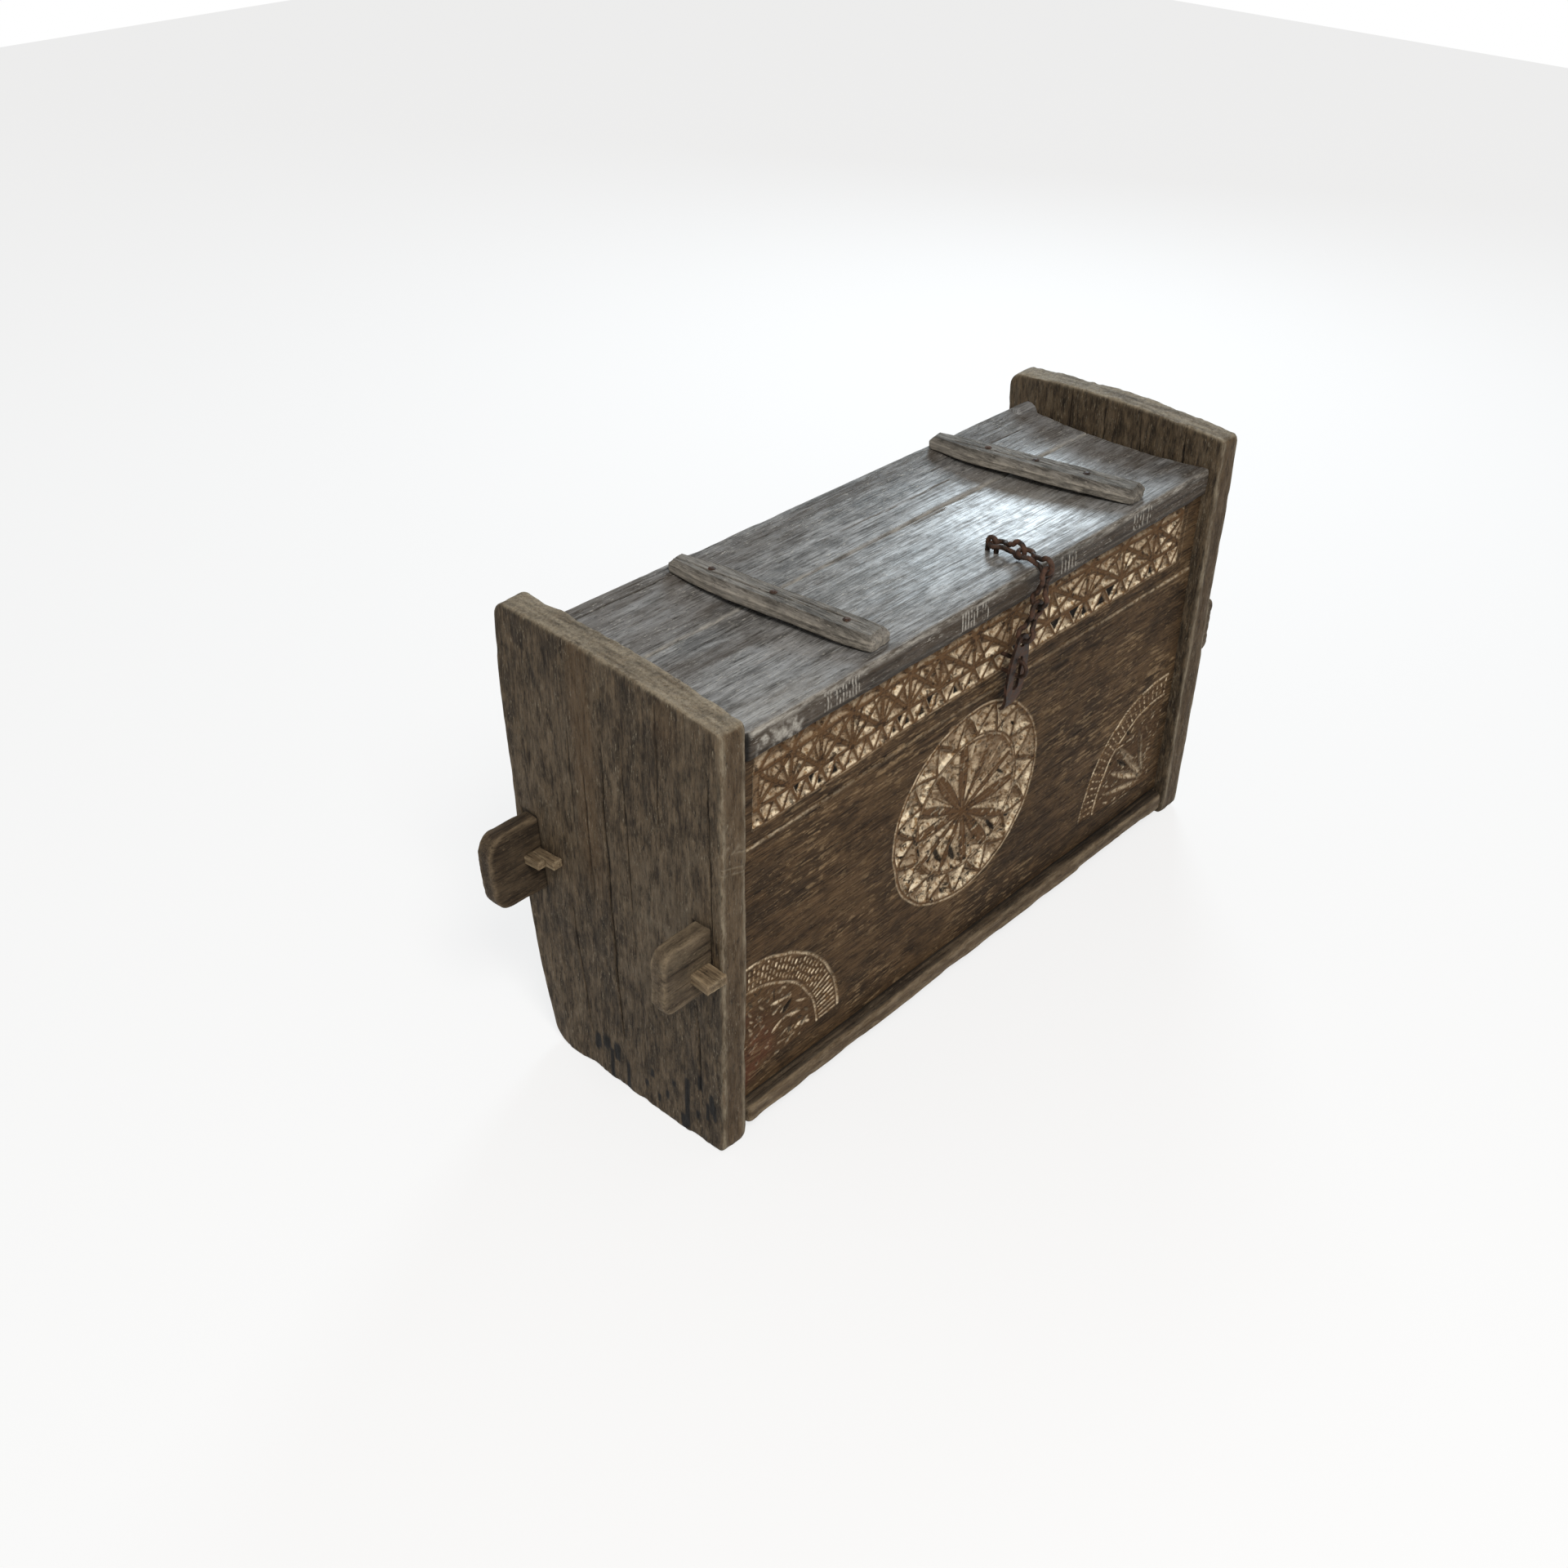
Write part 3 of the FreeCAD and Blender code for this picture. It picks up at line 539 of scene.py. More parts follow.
class Effects:
    """The shader groups that several finishes share, each built once."""

    def __init__(self) -> None:
        """Builds the groups."""
        self.fibre = self.fibre_group()
        self.stain = self.stain_group()
        self.wear = self.wear_group()
        self.flecks = self.flecks_group()

    @staticmethod
    def group(
        name: str, inputs: dict[str, str], outputs: dict[str, str]
    ) -> tuple[Graph, dict, bpy.types.Node]:
        """An empty group with its named sockets.

        Args:
            name: The group's name.
            inputs: Socket names and their types.
            outputs: Socket names and their types.

        Returns:
            The group's graph, its input sockets by name, and its output node.
        """
        tree = bpy.data.node_groups.new(name, "ShaderNodeTree")
        for socket, kind in inputs.items():
            tree.interface.new_socket(socket, in_out="INPUT", socket_type="NodeSocket" + kind)
        for socket, kind in outputs.items():
            tree.interface.new_socket(socket, in_out="OUTPUT", socket_type="NodeSocket" + kind)
        given = tree.nodes.new("NodeGroupInput")
        result = tree.nodes.new("NodeGroupOutput")
        return Graph(tree), {s.name: s for s in given.outputs if s.name}, result

    def fibre_group(self) -> bpy.types.NodeTree:
        """Wood fibre between two colours: long streaks and threads, or the short mottle of an adzed face."""
        inputs = {"Vector": "Vector", "Short": "Vector", "Dark": "Color", "Light": "Color", "Mottle": "Float"}
        g, given, out = self.group("wood_fibre", inputs, {"Colour": "Color", "Height": "Float"})
        streak = g.noise(given["Vector"], 1.0, 4.0, 0.6)
        thread = g.noise(given["Vector"], 4.6, 3.0, 0.6)
        lines = g.calc("ADD", g.calc("MULTIPLY", streak, 0.35), g.calc("MULTIPLY", thread, 0.65))
        adzed = g.noise(given["Short"], 2.0, 4.0, 0.7)
        both = g.calc("ADD", lines, g.calc("MULTIPLY", g.calc("SUBTRACT", adzed, lines), given["Mottle"]))
        share = g.span(both, 0.38, 0.62)
        g.send(g.mix(share, given["Dark"], given["Light"]), out, "Colour")
        g.send(share, out, "Height")
        return g.tree

    def stain_group(self) -> bpy.types.NodeTree:
        """Stain: clouds over a vector that pull a colour towards a dark stain or a pale bloom."""
        colours = {"Colour": "Color", "Stain": "Color", "Bloom": "Color"}
        inputs = {"Vector": "Vector", **colours, "Amount": "Float"}
        g, given, out = self.group("stain", inputs, {"Colour": "Color"})
        broad = g.noise(given["Vector"], 8.0, 5.0, 0.62)
        small = g.noise(given["Vector"], 62.0, 4.0, 0.6)
        both = g.calc("ADD", g.calc("MULTIPLY", broad, 0.5), g.calc("MULTIPLY", small, 0.5))
        dark = g.calc("MULTIPLY", g.span(both, 0.48, 0.6), given["Amount"])
        pale = g.calc("MULTIPLY", g.span(both, 0.5, 0.38), given["Amount"])
        stained = g.mix(dark, given["Colour"], given["Stain"])
        g.send(g.mix(g.calc("MULTIPLY", pale, 0.7), stained, given["Bloom"]), out, "Colour")
        return g.tree

    def flecks_group(self) -> bpy.types.NodeTree:
        """Flecks: short pale scratches and thin dark pores along a stretched vector."""
        inputs = {"Vector": "Vector", "Colour": "Color", "Pale": "Color", "Dark": "Color", "Amount": "Float"}
        g, given, out = self.group("flecks", inputs, {"Colour": "Color", "Height": "Float"})
        scratch = g.span(g.noise(given["Vector"], 5.5, 5.0, 0.7), 0.56, 0.7)
        patch = g.span(g.noise(given["Vector"], 0.7, 2.0, 0.5), 0.4, 0.6, 0.15, 1.0)
        pores = g.span(g.noise(given["Vector"], 4.2, 5.0, 0.75), 0.44, 0.32)
        darker = g.mix(g.calc("MULTIPLY", pores, 0.85), given["Colour"], given["Dark"])
        shown = g.calc("MULTIPLY", g.calc("MULTIPLY", scratch, patch), given["Amount"])
        g.send(g.mix(shown, darker, given["Pale"]), out, "Colour")
        g.send(g.calc("SUBTRACT", scratch, pores), out, "Height")
        return g.tree

    def wear_group(self) -> bpy.types.NodeTree:
        """Wear: rubbed edges go pale in broken patches, and cracks and the boards' other dark marks go dark,
        the lid's painted shadow and shade among them.
        """
        inputs = {"Vector": "Vector", "Colour": "Color", "Bare": "Color", "Edge": "Float", "Crack": "Float"}
        g, given, out = self.group("wear", inputs, {"Colour": "Color"})
        broken = g.span(g.noise(given["Vector"], 1.6, 6.0, 0.75), 0.42, 0.62, 0.1, 0.85)
        mask = g.calc("MULTIPLY", g.span(given["Edge"], 0.3, 1.0), broken)
        rubbed = g.mix(mask, given["Colour"], given["Bare"])
        g.send(g.mix(given["Crack"], rubbed, (0.006, 0.005, 0.004, 1.0)), out, "Colour")
        return g.tree


def rgba(colour: Colour) -> tuple[float, float, float, float]:
    """A colour given as screen values from 0 to 255, made linear, with full cover."""
    share = np.array(colour) / 255.0
    linear = np.where(share <= 0.04045, share / 12.92, ((share + 0.055) / 1.055) ** 2.4)
    return (*(float(c) for c in linear), 1.0)


def new_material(name: str) -> tuple[bpy.types.Material, Graph, bpy.types.Node]:
    """A fresh material with its graph and its shader."""
    material = bpy.data.materials.new(name)
    material.use_nodes = True
    return material, Graph(material.node_tree), material.node_tree.nodes["Principled BSDF"]


@dataclass(frozen=True)
class Carving:
    """The tints of chip carving: bronze skin, tan and cream cuts with painted highlight on facets facing up,
    grime, red stain, and dark pits with painted shade along ribs and on facets facing down.
    """

    bronze: Colour = (102, 74, 47)
    tan: Colour = (170, 138, 99)
    cream: Colour = (255, 240, 210)
    grime: Colour = (42, 30, 20)
    red: Colour = (96, 54, 38)
    # Dark pits, and painted shade along ribs and on facets facing down.
    pit: Colour = (18, 13, 9)

    def tint(self, g: Graph, place: Socket, colour: Socket) -> Socket:
        """Carved parts turn golden, their cut hollows pale and the deepest pits dark; the pale tints also
        hold painted highlight and the dark tint painted shade.

        Args:
            g: The material's graph.
            place: Object coordinates.
            colour: The plain wood's colour.

        Returns:
            The colour with the carving's tints.
        """
        hollow, carved = g.mark("hollow"), g.mark("carved")
        patch = g.span(g.noise(place, 60.0, 5.0, 0.65), 0.36, 0.58, 0.3, 1.0)
        speck = g.span(g.noise(place, 150.0, 3.0, 0.65), 0.37, 0.51)
        grime = g.span(g.noise(place, 110.0, 4.0, 0.65), 0.46, 0.36, 0.0, 0.8)
        bright = g.calc("MULTIPLY", hollow, g.calc("MULTIPLY", speck, patch))
        tints = (
            (g.calc("MULTIPLY", carved, 0.8), self.bronze), (g.calc("MULTIPLY", hollow, patch), self.tan),
            (bright, self.cream), (g.calc("MULTIPLY", carved, grime), self.grime),
            (g.calc("MULTIPLY", g.mark("red"), patch), self.red), (g.mark("pit"), self.pit),
        )
        for share, tint in tints:
            colour = g.mix(share, colour, rgba(tint))
        return colour


@dataclass(frozen=True)
class WoodFinish:
    """Old wood: fibre colours, dark stain, pale bloom, the bare colour of rubbed edges, and its sheen."""

    name: str
    grain: Grain
    dark: Colour
    light: Colour
    stain: Colour
    bloom: Colour
    bare: Colour
    amount: float = 0.6
    rough: tuple[float, float] = (0.62, 0.85)
    bump: float = 0.6
    mottle: float = 0.2
    gloss: float = 0.25
    flecked: float = 1.0
    honey: Colour = (104, 82, 56)
    carving: Carving | None = None
    polished: bool = False
    coat_rough: float = 0.32
    bump_reach: float = 0.0015

    def make(self, effects: Effects) -> bpy.types.Material:
        """The finish as a material.

        Args:
            effects: The shared shader groups.

        Returns:
            The material.
        """
        material, g, shader = new_material(self.name)
        shader.inputs["Specular IOR Level"].default_value = self.gloss
        place = g.add("ShaderNodeTexCoord").outputs["Object"]
        along = g.scaled(place, self.grain.value)
        soft = g.scaled(place, tuple(1.0 if s > 50 else 0.5 for s in self.grain.value))
        short = g.scaled(place, tuple(s if s > 50 else 4.0 * s for s in self.grain.value))

        fibre = g.group(effects.fibre, {
            "Vector": along, "Short": short, "Dark": rgba(self.dark), "Light": rgba(self.light),
            "Mottle": self.mottle,
        })
        colour = g.group(effects.stain, {
            "Vector": soft, "Colour": fibre["Colour"], "Stain": rgba(self.stain),
            "Bloom": rgba(self.bloom), "Amount": self.amount,
        })["Colour"]
        colour = g.mix(g.calc("MULTIPLY", g.mark("warm"), 0.7), colour, rgba(self.honey))
        if self.carving is not None:
            colour = self.carving.tint(g, place, colour)
        deep = tuple(0.4 * c for c in self.dark)
        fleck = g.group(effects.flecks, {
            "Vector": short, "Colour": colour, "Pale": rgba(self.bare), "Dark": rgba(deep),
            "Amount": self.flecked,
        })
        colour = g.group(effects.wear, {
            "Vector": short, "Colour": fleck["Colour"], "Bare": rgba(self.bare),
            "Edge": g.mark("edge"), "Crack": g.mark("crack"),
        })["Colour"]
        speck = g.span(g.noise(place, 240.0, 5.0, 0.75), 0.38, 0.6, 0.4, 1.0)
        # The pale mark pulls towards the bare colour; on the lid it holds painted sheen.
        paled = g.mix(g.calc("MULTIPLY", g.mark("pale"), speck), colour, rgba(self.bare))
        g.send(paled, shader, "Base Color")
        g.send(g.span(fibre["Height"], 0.0, 1.0, self.rough[1], self.rough[0]), shader, "Roughness")
        if self.polished:
            shader.inputs["Coat Roughness"].default_value = self.coat_rough
            proud = g.span(fibre["Height"], 0.2, 0.8, 0.3, 1.0)
            g.send(g.calc("MULTIPLY", g.mark("polish"), proud), shader, "Coat Weight")
        grit = g.calc("MULTIPLY", g.noise(place, 420.0, 3.0, 0.6), 0.5)
        height = g.calc("ADD", g.calc("ADD", fibre["Height"], grit), g.calc("MULTIPLY", fleck["Height"], 0.6))
        g.send(g.bump(height, self.bump, self.bump_reach), shader, "Normal")
        return material


@dataclass(frozen=True)
class IronFinish:
    """Hand-forged iron: dark scale with brown rust in clouds and a fine pitted skin."""

    name: str
    dark: Colour
    rust: Colour
    pit: Colour = (16, 11, 9)
    rough: tuple[float, float] = (0.48, 0.85)
    metal: tuple[float, float] = (0.75, 0.15)
    bump: float = 0.6
    bump_reach: float = 0.0012

    def make(self) -> bpy.types.Material:
        """The finish as a material."""
        material, g, shader = new_material(self.name)
        place = g.add("ShaderNodeTexCoord").outputs["Object"]
        clouds = g.span(g.noise(place, 75.0, 6.0, 0.65), 0.4, 0.62)
        pits = g.noise(place, 700.0, 4.0, 0.65)
        colour = g.mix(clouds, rgba(self.dark), rgba(self.rust))
        colour = g.mix(g.span(pits, 0.58, 0.7, 0.0, 0.55), colour, rgba(self.pit))
        g.send(colour, shader, "Base Color")
        g.send(g.span(clouds, 0.0, 1.0, *self.rough), shader, "Roughness")
        g.send(g.span(clouds, 0.0, 1.0, *self.metal), shader, "Metallic")
        height = g.calc("ADD", pits, g.calc("MULTIPLY", g.noise(place, 160.0, 3.0), 0.8))
        g.send(g.bump(height, self.bump, self.bump_reach), shader, "Normal")
        return material


class Finishes:
    """Every material of the chest, by the record's finish."""

    def __init__(self) -> None:
        """Makes the materials."""
        effects = Effects()
        woods = {
            Slot.END: WoodFinish(
                "end_board_wood", Grain.ALONG_Z, (42, 34, 26), (107, 91, 70), (34, 28, 21), (110, 99, 83),
                (152, 141, 121), mottle=0.7, honey=(90, 71, 49),
            ),
            Slot.PANEL: WoodFinish(
                "carved_panel_wood", Grain.ALONG_X, (35, 25, 17), (97, 75, 51), (27, 20, 13), (109, 86, 60),
                (170, 144, 110), 0.55, bump=0.5, gloss=0.15, flecked=0.75, carving=Carving(),
            ),
            Slot.RAIL: WoodFinish(
                "rail_wood", Grain.ALONG_X, (46, 36, 27), (98, 83, 65), (40, 33, 25), (108, 95, 78),
                (142, 126, 102), 0.65,
            ),
            Slot.INNER: WoodFinish(
                "inner_wood", Grain.ALONG_X, (42, 33, 24), (86, 72, 55), (36, 28, 21), (96, 82, 65),
                (124, 107, 84),
            ),
            Slot.LID: WoodFinish(
                "lid_wood", Grain.ALONG_X, (58, 55, 52), (148, 147, 145), (60, 58, 56), (153, 154, 155),
                (184, 180, 171), 0.65, (0.5, 0.75), 0.35, gloss=0.2, honey=(66, 54, 41), polished=True,
            ),
            Slot.BATTEN: WoodFinish(
                "batten_wood", Grain.ALONG_Y, (62, 58, 52), (134, 129, 121), (60, 57, 53), (140, 137, 131),
                (164, 157, 145), 0.65, bump=0.5,
            ),
            Slot.WEDGE: WoodFinish(
                "wedge_wood", Grain.ALONG_Y, (78, 64, 47), (144, 124, 97), (80, 68, 52), (152, 134, 108),
                (168, 150, 121), 0.5,
            ),
        }
        self.by_slot = {slot: wood.make(effects) for slot, wood in woods.items()}
        self.by_slot[Slot.IRON] = IronFinish("forged_iron", (46, 38, 33), (88, 61, 46)).make()

    def __getitem__(self, slot: Slot) -> bpy.types.Material:
        """The material of a finish."""
        return self.by_slot[slot]


# The carved front


@dataclass(frozen=True)
class Groove:
    """A V groove: half width and depth in millimetres."""

    width: float
    depth: float


@dataclass(frozen=True)
class Wall:
    """The wall of a chip: its slope away from the rim, and the depth in millimetres that it stops at."""

    slope: float
    limit: float


@dataclass
class Relief:
    """Carving over places on the board's face: depth in millimetres, and shares of each tint."""

    x: Array
    z: Array

    def __post_init__(self) -> None:
        """Starts from a plain face."""
        self.depth, self.hollow, self.carved, self.pit, self.red = np.zeros((5, len(self.x)))

    def cut(self, depth: Array, pale: Array | float) -> None:
        """Takes wood away where that is deeper than before, and leaves the cut pale."""
        self.depth = np.maximum(self.depth, depth)
        self.hollow = np.maximum(self.hollow, pale * smooth(depth / 1.6))

    def groove(self, distance: Array, groove: Groove, pale: Array | float) -> None:
        """A groove along a line that is given by its distance at each place."""
        self.cut(groove.depth * tent(distance, groove.width), pale)

    def chip(self, clear: Array, wall: Wall, zone: Array, pale: Array | float) -> None:
        """A hollow within a zone, its wall falling with the distance clear of a rim."""
        self.cut(np.clip(wall.slope * clear, 0.0, wall.limit) * zone, pale)

    def shade(self, share: Array) -> None:
        """Adds to the dark tint where that is darker than before: dark pits, and painted shade along ribs and
        on facets facing down.
        """
        self.pit = np.maximum(self.pit, share)

    def stroke(self, start: Spot, end: Spot, width: float, depth: float, pale: float, pit: float) -> None:
        """A leaf-shaped cut: V across, its width swelling and dying along as the root of a half sine.

        Args:
            start: One tip.
            end: The other tip.
            width: Greatest half width.
            depth: Greatest depth.
            pale: Share of pale tint.
            pit: Share of dark tint.
        """
        run, rise = end[0] - start[0], end[1] - start[1]
        length = np.hypot(run, rise)
        along = ((self.x - start[0]) * run + (self.z - start[1]) * rise) / length**2
        across = ((self.x - start[0]) * rise - (self.z - start[1]) * run) / length
        swell = np.sqrt(np.clip(np.sin(np.pi * np.clip(along, 0.0, 1.0)), 0.0, 1.0))
        cut = swell * tent(across, width * swell + 1e-6)
        self.cut(depth * cut, pale)
        self.shade(pit * smooth(cut * 2.2))


@dataclass
class Band:
    """The frieze under the lid: bursts joined by crossed ribs, over a row of toothed chips."""

    bursts: tuple[float, ...] = (-430, -376, -325, -270, -217, -168, -110, -42, 32, 115, 200, 283, 360, 430)
    rise_at: tuple[float, ...] = (-470, -376, -270, -168, -42, 200, 360, 470)
    rise: tuple[float, ...] = (0, 2, 6, 11, 12, 11, 10, 8)
    low: float = 471.0
    tall: float = 46.0
    tooth: float = 29.0
    crest: float = 27.0
    ledge: float = 421.0
    ends: tuple[float, float] = (-438.0, 428.0)
    second_end: float = 11.0
    end_height: float = 50.0
    rib: float = 2.4
    crease: float = 1.0
    sill: float = 1.8
    crest_rib: float = 2.0
    facet: Wall = Wall(0.95, 5.2)
    crest_facet: Wall = Wall(0.7, 3.4)
    tooth_facet: Wall = Wall(0.95, 3.6)
    vein: Groove = Groove(0.9, 0.8)
    border_line: Groove = Groove(1.7, 1.1)
    end_line: Groove = Groove(1.5, 1.0)

    def carve(self, relief: Relief) -> None:
        """Cuts the frieze: between ribs the wood falls away from every rib at a steady slope.

        Args:
            relief: The face to cut.
        """
        x = relief.x
        wander = 1.2 * cloud(columns(x, relief.z), (60.0, 60.0, 1.0), 301, 2)
        lift = np.interp(x, self.rise_at, self.rise)
        z = relief.z - lift + wander
        count = np.interp(x + wander, self.bursts, np.arange(len(self.bursts)))
        cell = np.clip(np.floor(count).astype(int), 0, len(self.bursts) - 2)
        f = count - cell
        wide = np.diff(np.array(self.bursts))[cell]
        chance = hashed(columns(cell), 77)
        t = (z - self.low) / self.tall
        lean = wide * self.tall / np.hypot(wide, self.tall)
        near = np.minimum(f, 1.0 - f)
        upright = near * wide
        crossing = np.minimum(np.abs(t - f), np.abs(t - 1.0 + f)) * lean
        level = np.where(chance > 0.62, 1.0 - t, t)
        between = np.abs(0.75 * near - 0.25 * level) * wide * self.tall
        between /= np.hypot(0.25 * wide, 0.75 * self.tall)
        floor = np.minimum(t, 1.0 - t) * self.tall
        ribs = np.minimum(upright, crossing) - self.rib
        clear = np.minimum.reduce([ribs, between - self.crease, floor - self.sill])
        inside = (x > self.ends[0]) & (x < self.ends[1])
        # Each facet of a chip gets its own paleness, picked at random and higher low in the frieze: painted
        # light and shade on the facets, over the pale cut colour.
        sides = (2.0 * cell + (f > 0.5), 2.0 * (t > f) + (t > 1.0 - f), 0.75 * near > 0.25 * level)
        pale = 0.38 + 0.57 * smooth((hashed(columns(*sides), 91) - 0.45 - 0.3 * t) / 0.2)
        relief.chip(clear, self.facet, inside, pale)
        latticed = inside & (t > 0.0) & (t < 1.0)
        # A dark line along the ribs' edges in the lattice: painted shade.
        relief.shade(0.5 * tent(clear - 0.3, 1.1) * latticed)
        relief.groove(np.where(latticed, upright, AWAY), self.vein, 0.3)
        relief.groove(np.where(latticed, crossing, AWAY), self.vein, 0.25)
        crest = (z - self.low - self.tall) / self.crest
        ridge = slanted(np.abs(crest - np.minimum(2.0 * f, 2.0 - 2.0 * f)), 0.5 * wide, self.crest)
        clear = np.minimum(ridge, crest * self.crest) - self.crest_rib
        relief.chip(clear, self.crest_facet, inside, 0.3)
        self.teeth(relief, z, f, wide, cell, inside)
        border = self.low - self.tooth
        relief.groove(np.where(inside, z - border, AWAY), self.border_line, 0.6)
        tall = (z > border) & (z < self.low + self.end_height)
        for line in (*self.ends, self.ends[1] + self.second_end):
            relief.groove(np.where(tall, x - line, AWAY), self.end_line, 0.5)
        relief.carved = np.maximum(relief.carved, smooth((z - border + 2.0) / 3.0) * inside)
        stepped = relief.z - self.ledge - 0.75 * lift
        relief.depth += 1.1 * smooth(stepped / 2.2)
        lit = 0.35 + 0.65 * smooth((np.abs(x + 30.0) - 230.0) / 120.0)
        relief.hollow = np.maximum(relief.hollow, 0.5 * lit * tent(stepped, 3.2))

    def teeth(self, relief: Relief, z: Array, f: Array, wide: Array, cell: Array, inside: Array) -> None:
        """The row of triangles under the bursts, pointing up and down in turn, some with a dark pit.

        Args:
            relief: The face to cut.
            z: Height along the frieze's own lines.
            f: Share of the way from burst to burst.
            wide: Distance from burst to burst.
            cell: Number of the burst.
            inside: Where the frieze is.
        """
        up = (z - self.low + self.tooth) / self.tooth
        half = np.mod(2.0 * f, 1.0)
        fold = np.abs(1.0 - 2.0 * half)
        pitch = 0.25 * wide
        zigzag = slanted(np.abs(up - fold), pitch, self.tooth)
        clear = np.minimum.reduce([zigzag - 1.5, up * self.tooth - 1.6, (1.0 - up) * self.tooth - 2.2])
        chance = hashed(columns(cell, np.floor(2.0 * f), up > fold), 13)
        relief.chip(clear, self.tooth_facet, inside, 0.8 + 0.2 * chance)
        relief.shade(smooth((clear - 2.7) / 0.8) * (chance > 0.66) * inside)


@dataclass
class Rosette:
    """The round ornament: ribs from a hub in a ring of triangular chips, between two scribed circles."""

    centre: Spot = (-31.5, 271.5)
    reach: tuple[float, float] = (151.0, 144.5)
    ring: float = 42.0
    land: float = 6.0
    hub: Spot = (-42.0, 265.0)
    teeth: int = 15
    plain_turn: float = 52.0
    wide_rib: float = 5.0
    star_wall: Wall = Wall(0.8, 5.6)
    ring_wall: Wall = Wall(0.95, 5.2)
    gouge_wall: Wall = Wall(3.2, 2.6)
    rib_line: Groove = Groove(1.6, 1.0)
    ring_line: Groove = Groove(0.9, 0.9)
    inner_circle: Groove = Groove(2.2, 1.3)
    outer_circle: Groove = Groove(2.6, 1.4)
    pit_depth: float = 5.0
    ribs: tuple[Triple, ...] = (
        (92.6, 108.0, 8.0), (58.6, 84.0, 2.4), (24.9, 106.0, 3.4), (1.0, 108.0, 7.0), (-29.0, 112.0, 4.6),
        (-54.0, 111.0, 7.5), (-82.0, 98.0, 6.0), (-117.0, 92.0, 4.0), (-152.0, 94.0, 3.6),
        (177.7, 100.0, 6.5), (153.7, 97.0, 5.0), (125.7, 101.0, 7.5),
    )
    pits: tuple[tuple[Spot, Spot, float], ...] = (
        ((-93, 232), (-78, 200), 6.0), ((-64, 222), (-44, 184), 7.0), ((22, 216), (38, 192), 5.0),
        ((-133, 252), (-124, 234), 4.0), ((36, 290), (52, 277), 3.5), ((-36, 334), (-33, 342), 2.5),
        ((-72, 152), (-62, 138), 3.0), ((-36, 150), (-20, 138), 3.0), ((-170, 257), (-158, 253), 2.5),
        ((56, 358), (60, 350), 2.5), ((62, 202), (74, 196), 2.5),
    )

    def carve(self, relief: Relief) -> None:
        """Cuts the ornament: V hollows between the ribs, chips in the ring, then circles and pits.

        Args:
            relief: The face to cut.
        """
        x, z = relief.x, relief.z
        ox, oz = x - self.centre[0], z - self.centre[1]
        outer = self.reach[0]
        wander = cloud(columns(x, z), (40.0, 40.0, 1.0), 411, 2)
        r = np.hypot(ox, oz * outer / self.reach[1]) + 1.6 * wander
        angle = np.arctan2(oz, ox)
        inner = outer - self.ring - self.land
        hx, hz = x - self.hub[0], z - self.hub[1]
        clear = np.full(len(x), np.inf)
        for turn, length, width in self.ribs:
            dx, dz = np.cos(np.radians(turn)), np.sin(np.radians(turn))
            along, across = hx * dx + hz * dz, np.abs(hx * dz - hz * dx)
            share = np.clip(along / length, 0.0, 1.0)
            swell = np.sin(np.pi * np.clip(share, 0.0, 0.62) / 1.24)
            half = 1.0 + width * swell * (1.0 - 0.45 * smooth((share - 0.7) / 0.3))
            away = np.hypot(across, np.maximum(along - length, 0.0) + np.maximum(-along, 0.0))
            clear = np.minimum(clear, away - half)
            middle = np.where((along > 6.0) & (along < length - 4.0) & (width > self.wide_rib), across, AWAY)
            relief.groove(middle, self.rib_line, 0.3)
        plain = smooth((np.cos(angle - np.radians(self.plain_turn)) - 0.86) / 0.1) * smooth((r - 25.0) / 20.0)
        star = np.minimum(clear, inner - r - 2.0)
        relief.chip(star, self.star_wall, 1.0 - 0.7 * plain, 0.62 - 0.3 * plain)
        # A dark line along the ribs' edges: painted shade.
        relief.shade(0.55 * tent(clear, 1.2) * (r < inner - 2.0))
        rim = tent(clear - 2.6, 1.6) * (r < inner - 2.0) * smooth(0.6 + wander)
        relief.hollow = np.maximum(relief.hollow, 0.95 * rim)
        self.veins(relief, np.hypot(hx, hz), np.arctan2(hz, hx), inner - r)
        count = angle / (2.0 * np.pi) * self.teeth
        turn = np.mod(count, 1.0)
        fold = np.abs(1.0 - 2.0 * turn)
        up = (r - inner - 3.0) / (self.ring - 2.0)
        pitch = np.pi * r / self.teeth
        zigzag = slanted(np.abs(up - fold), pitch, self.ring)
        clear = np.minimum.reduce([zigzag - 1.8, r - inner - 3.0, outer - r - 4.0])
        # Each facet of the ring's chips gets its own paleness at random: painted light and shade on the
        # facets, over the pale cut colour.
        facet = hashed(columns(np.floor(count), turn > 0.5, up > fold), 93)
        relief.chip(clear, self.ring_wall, r > inner, 0.4 + 0.55 * smooth((facet - 0.35) / 0.3))
        # A dark line beside the ring's chips: painted shade.
        painted_shade_beside = tent(clear, 1.1)
        relief.shade(0.5 * painted_shade_beside * (r > inner) * (r < outer - 4.0))
        ringed = (r > inner + 2.0) & (r < outer - 3.0)
        relief.groove(np.where(ringed, zigzag, AWAY), self.ring_line, 0.35)
        lower = smooth((0.15 - np.sin(angle + 0.5)) / 0.5)
        self.gouges(relief, r, outer, lower)
        for start, end, width in self.pits:
            relief.stroke(start, end, width, self.pit_depth, 0.2, 0.95)
        right = smooth((np.cos(angle - 0.15) + 0.35) / 0.4)
        relief.groove(r - inner, self.inner_circle, 0.35 + 0.6 * right)
        relief.groove(r - outer, self.outer_circle, 0.95)
        relief.carved = np.maximum(relief.carved, smooth((outer - r + 2.0) / 3.0))

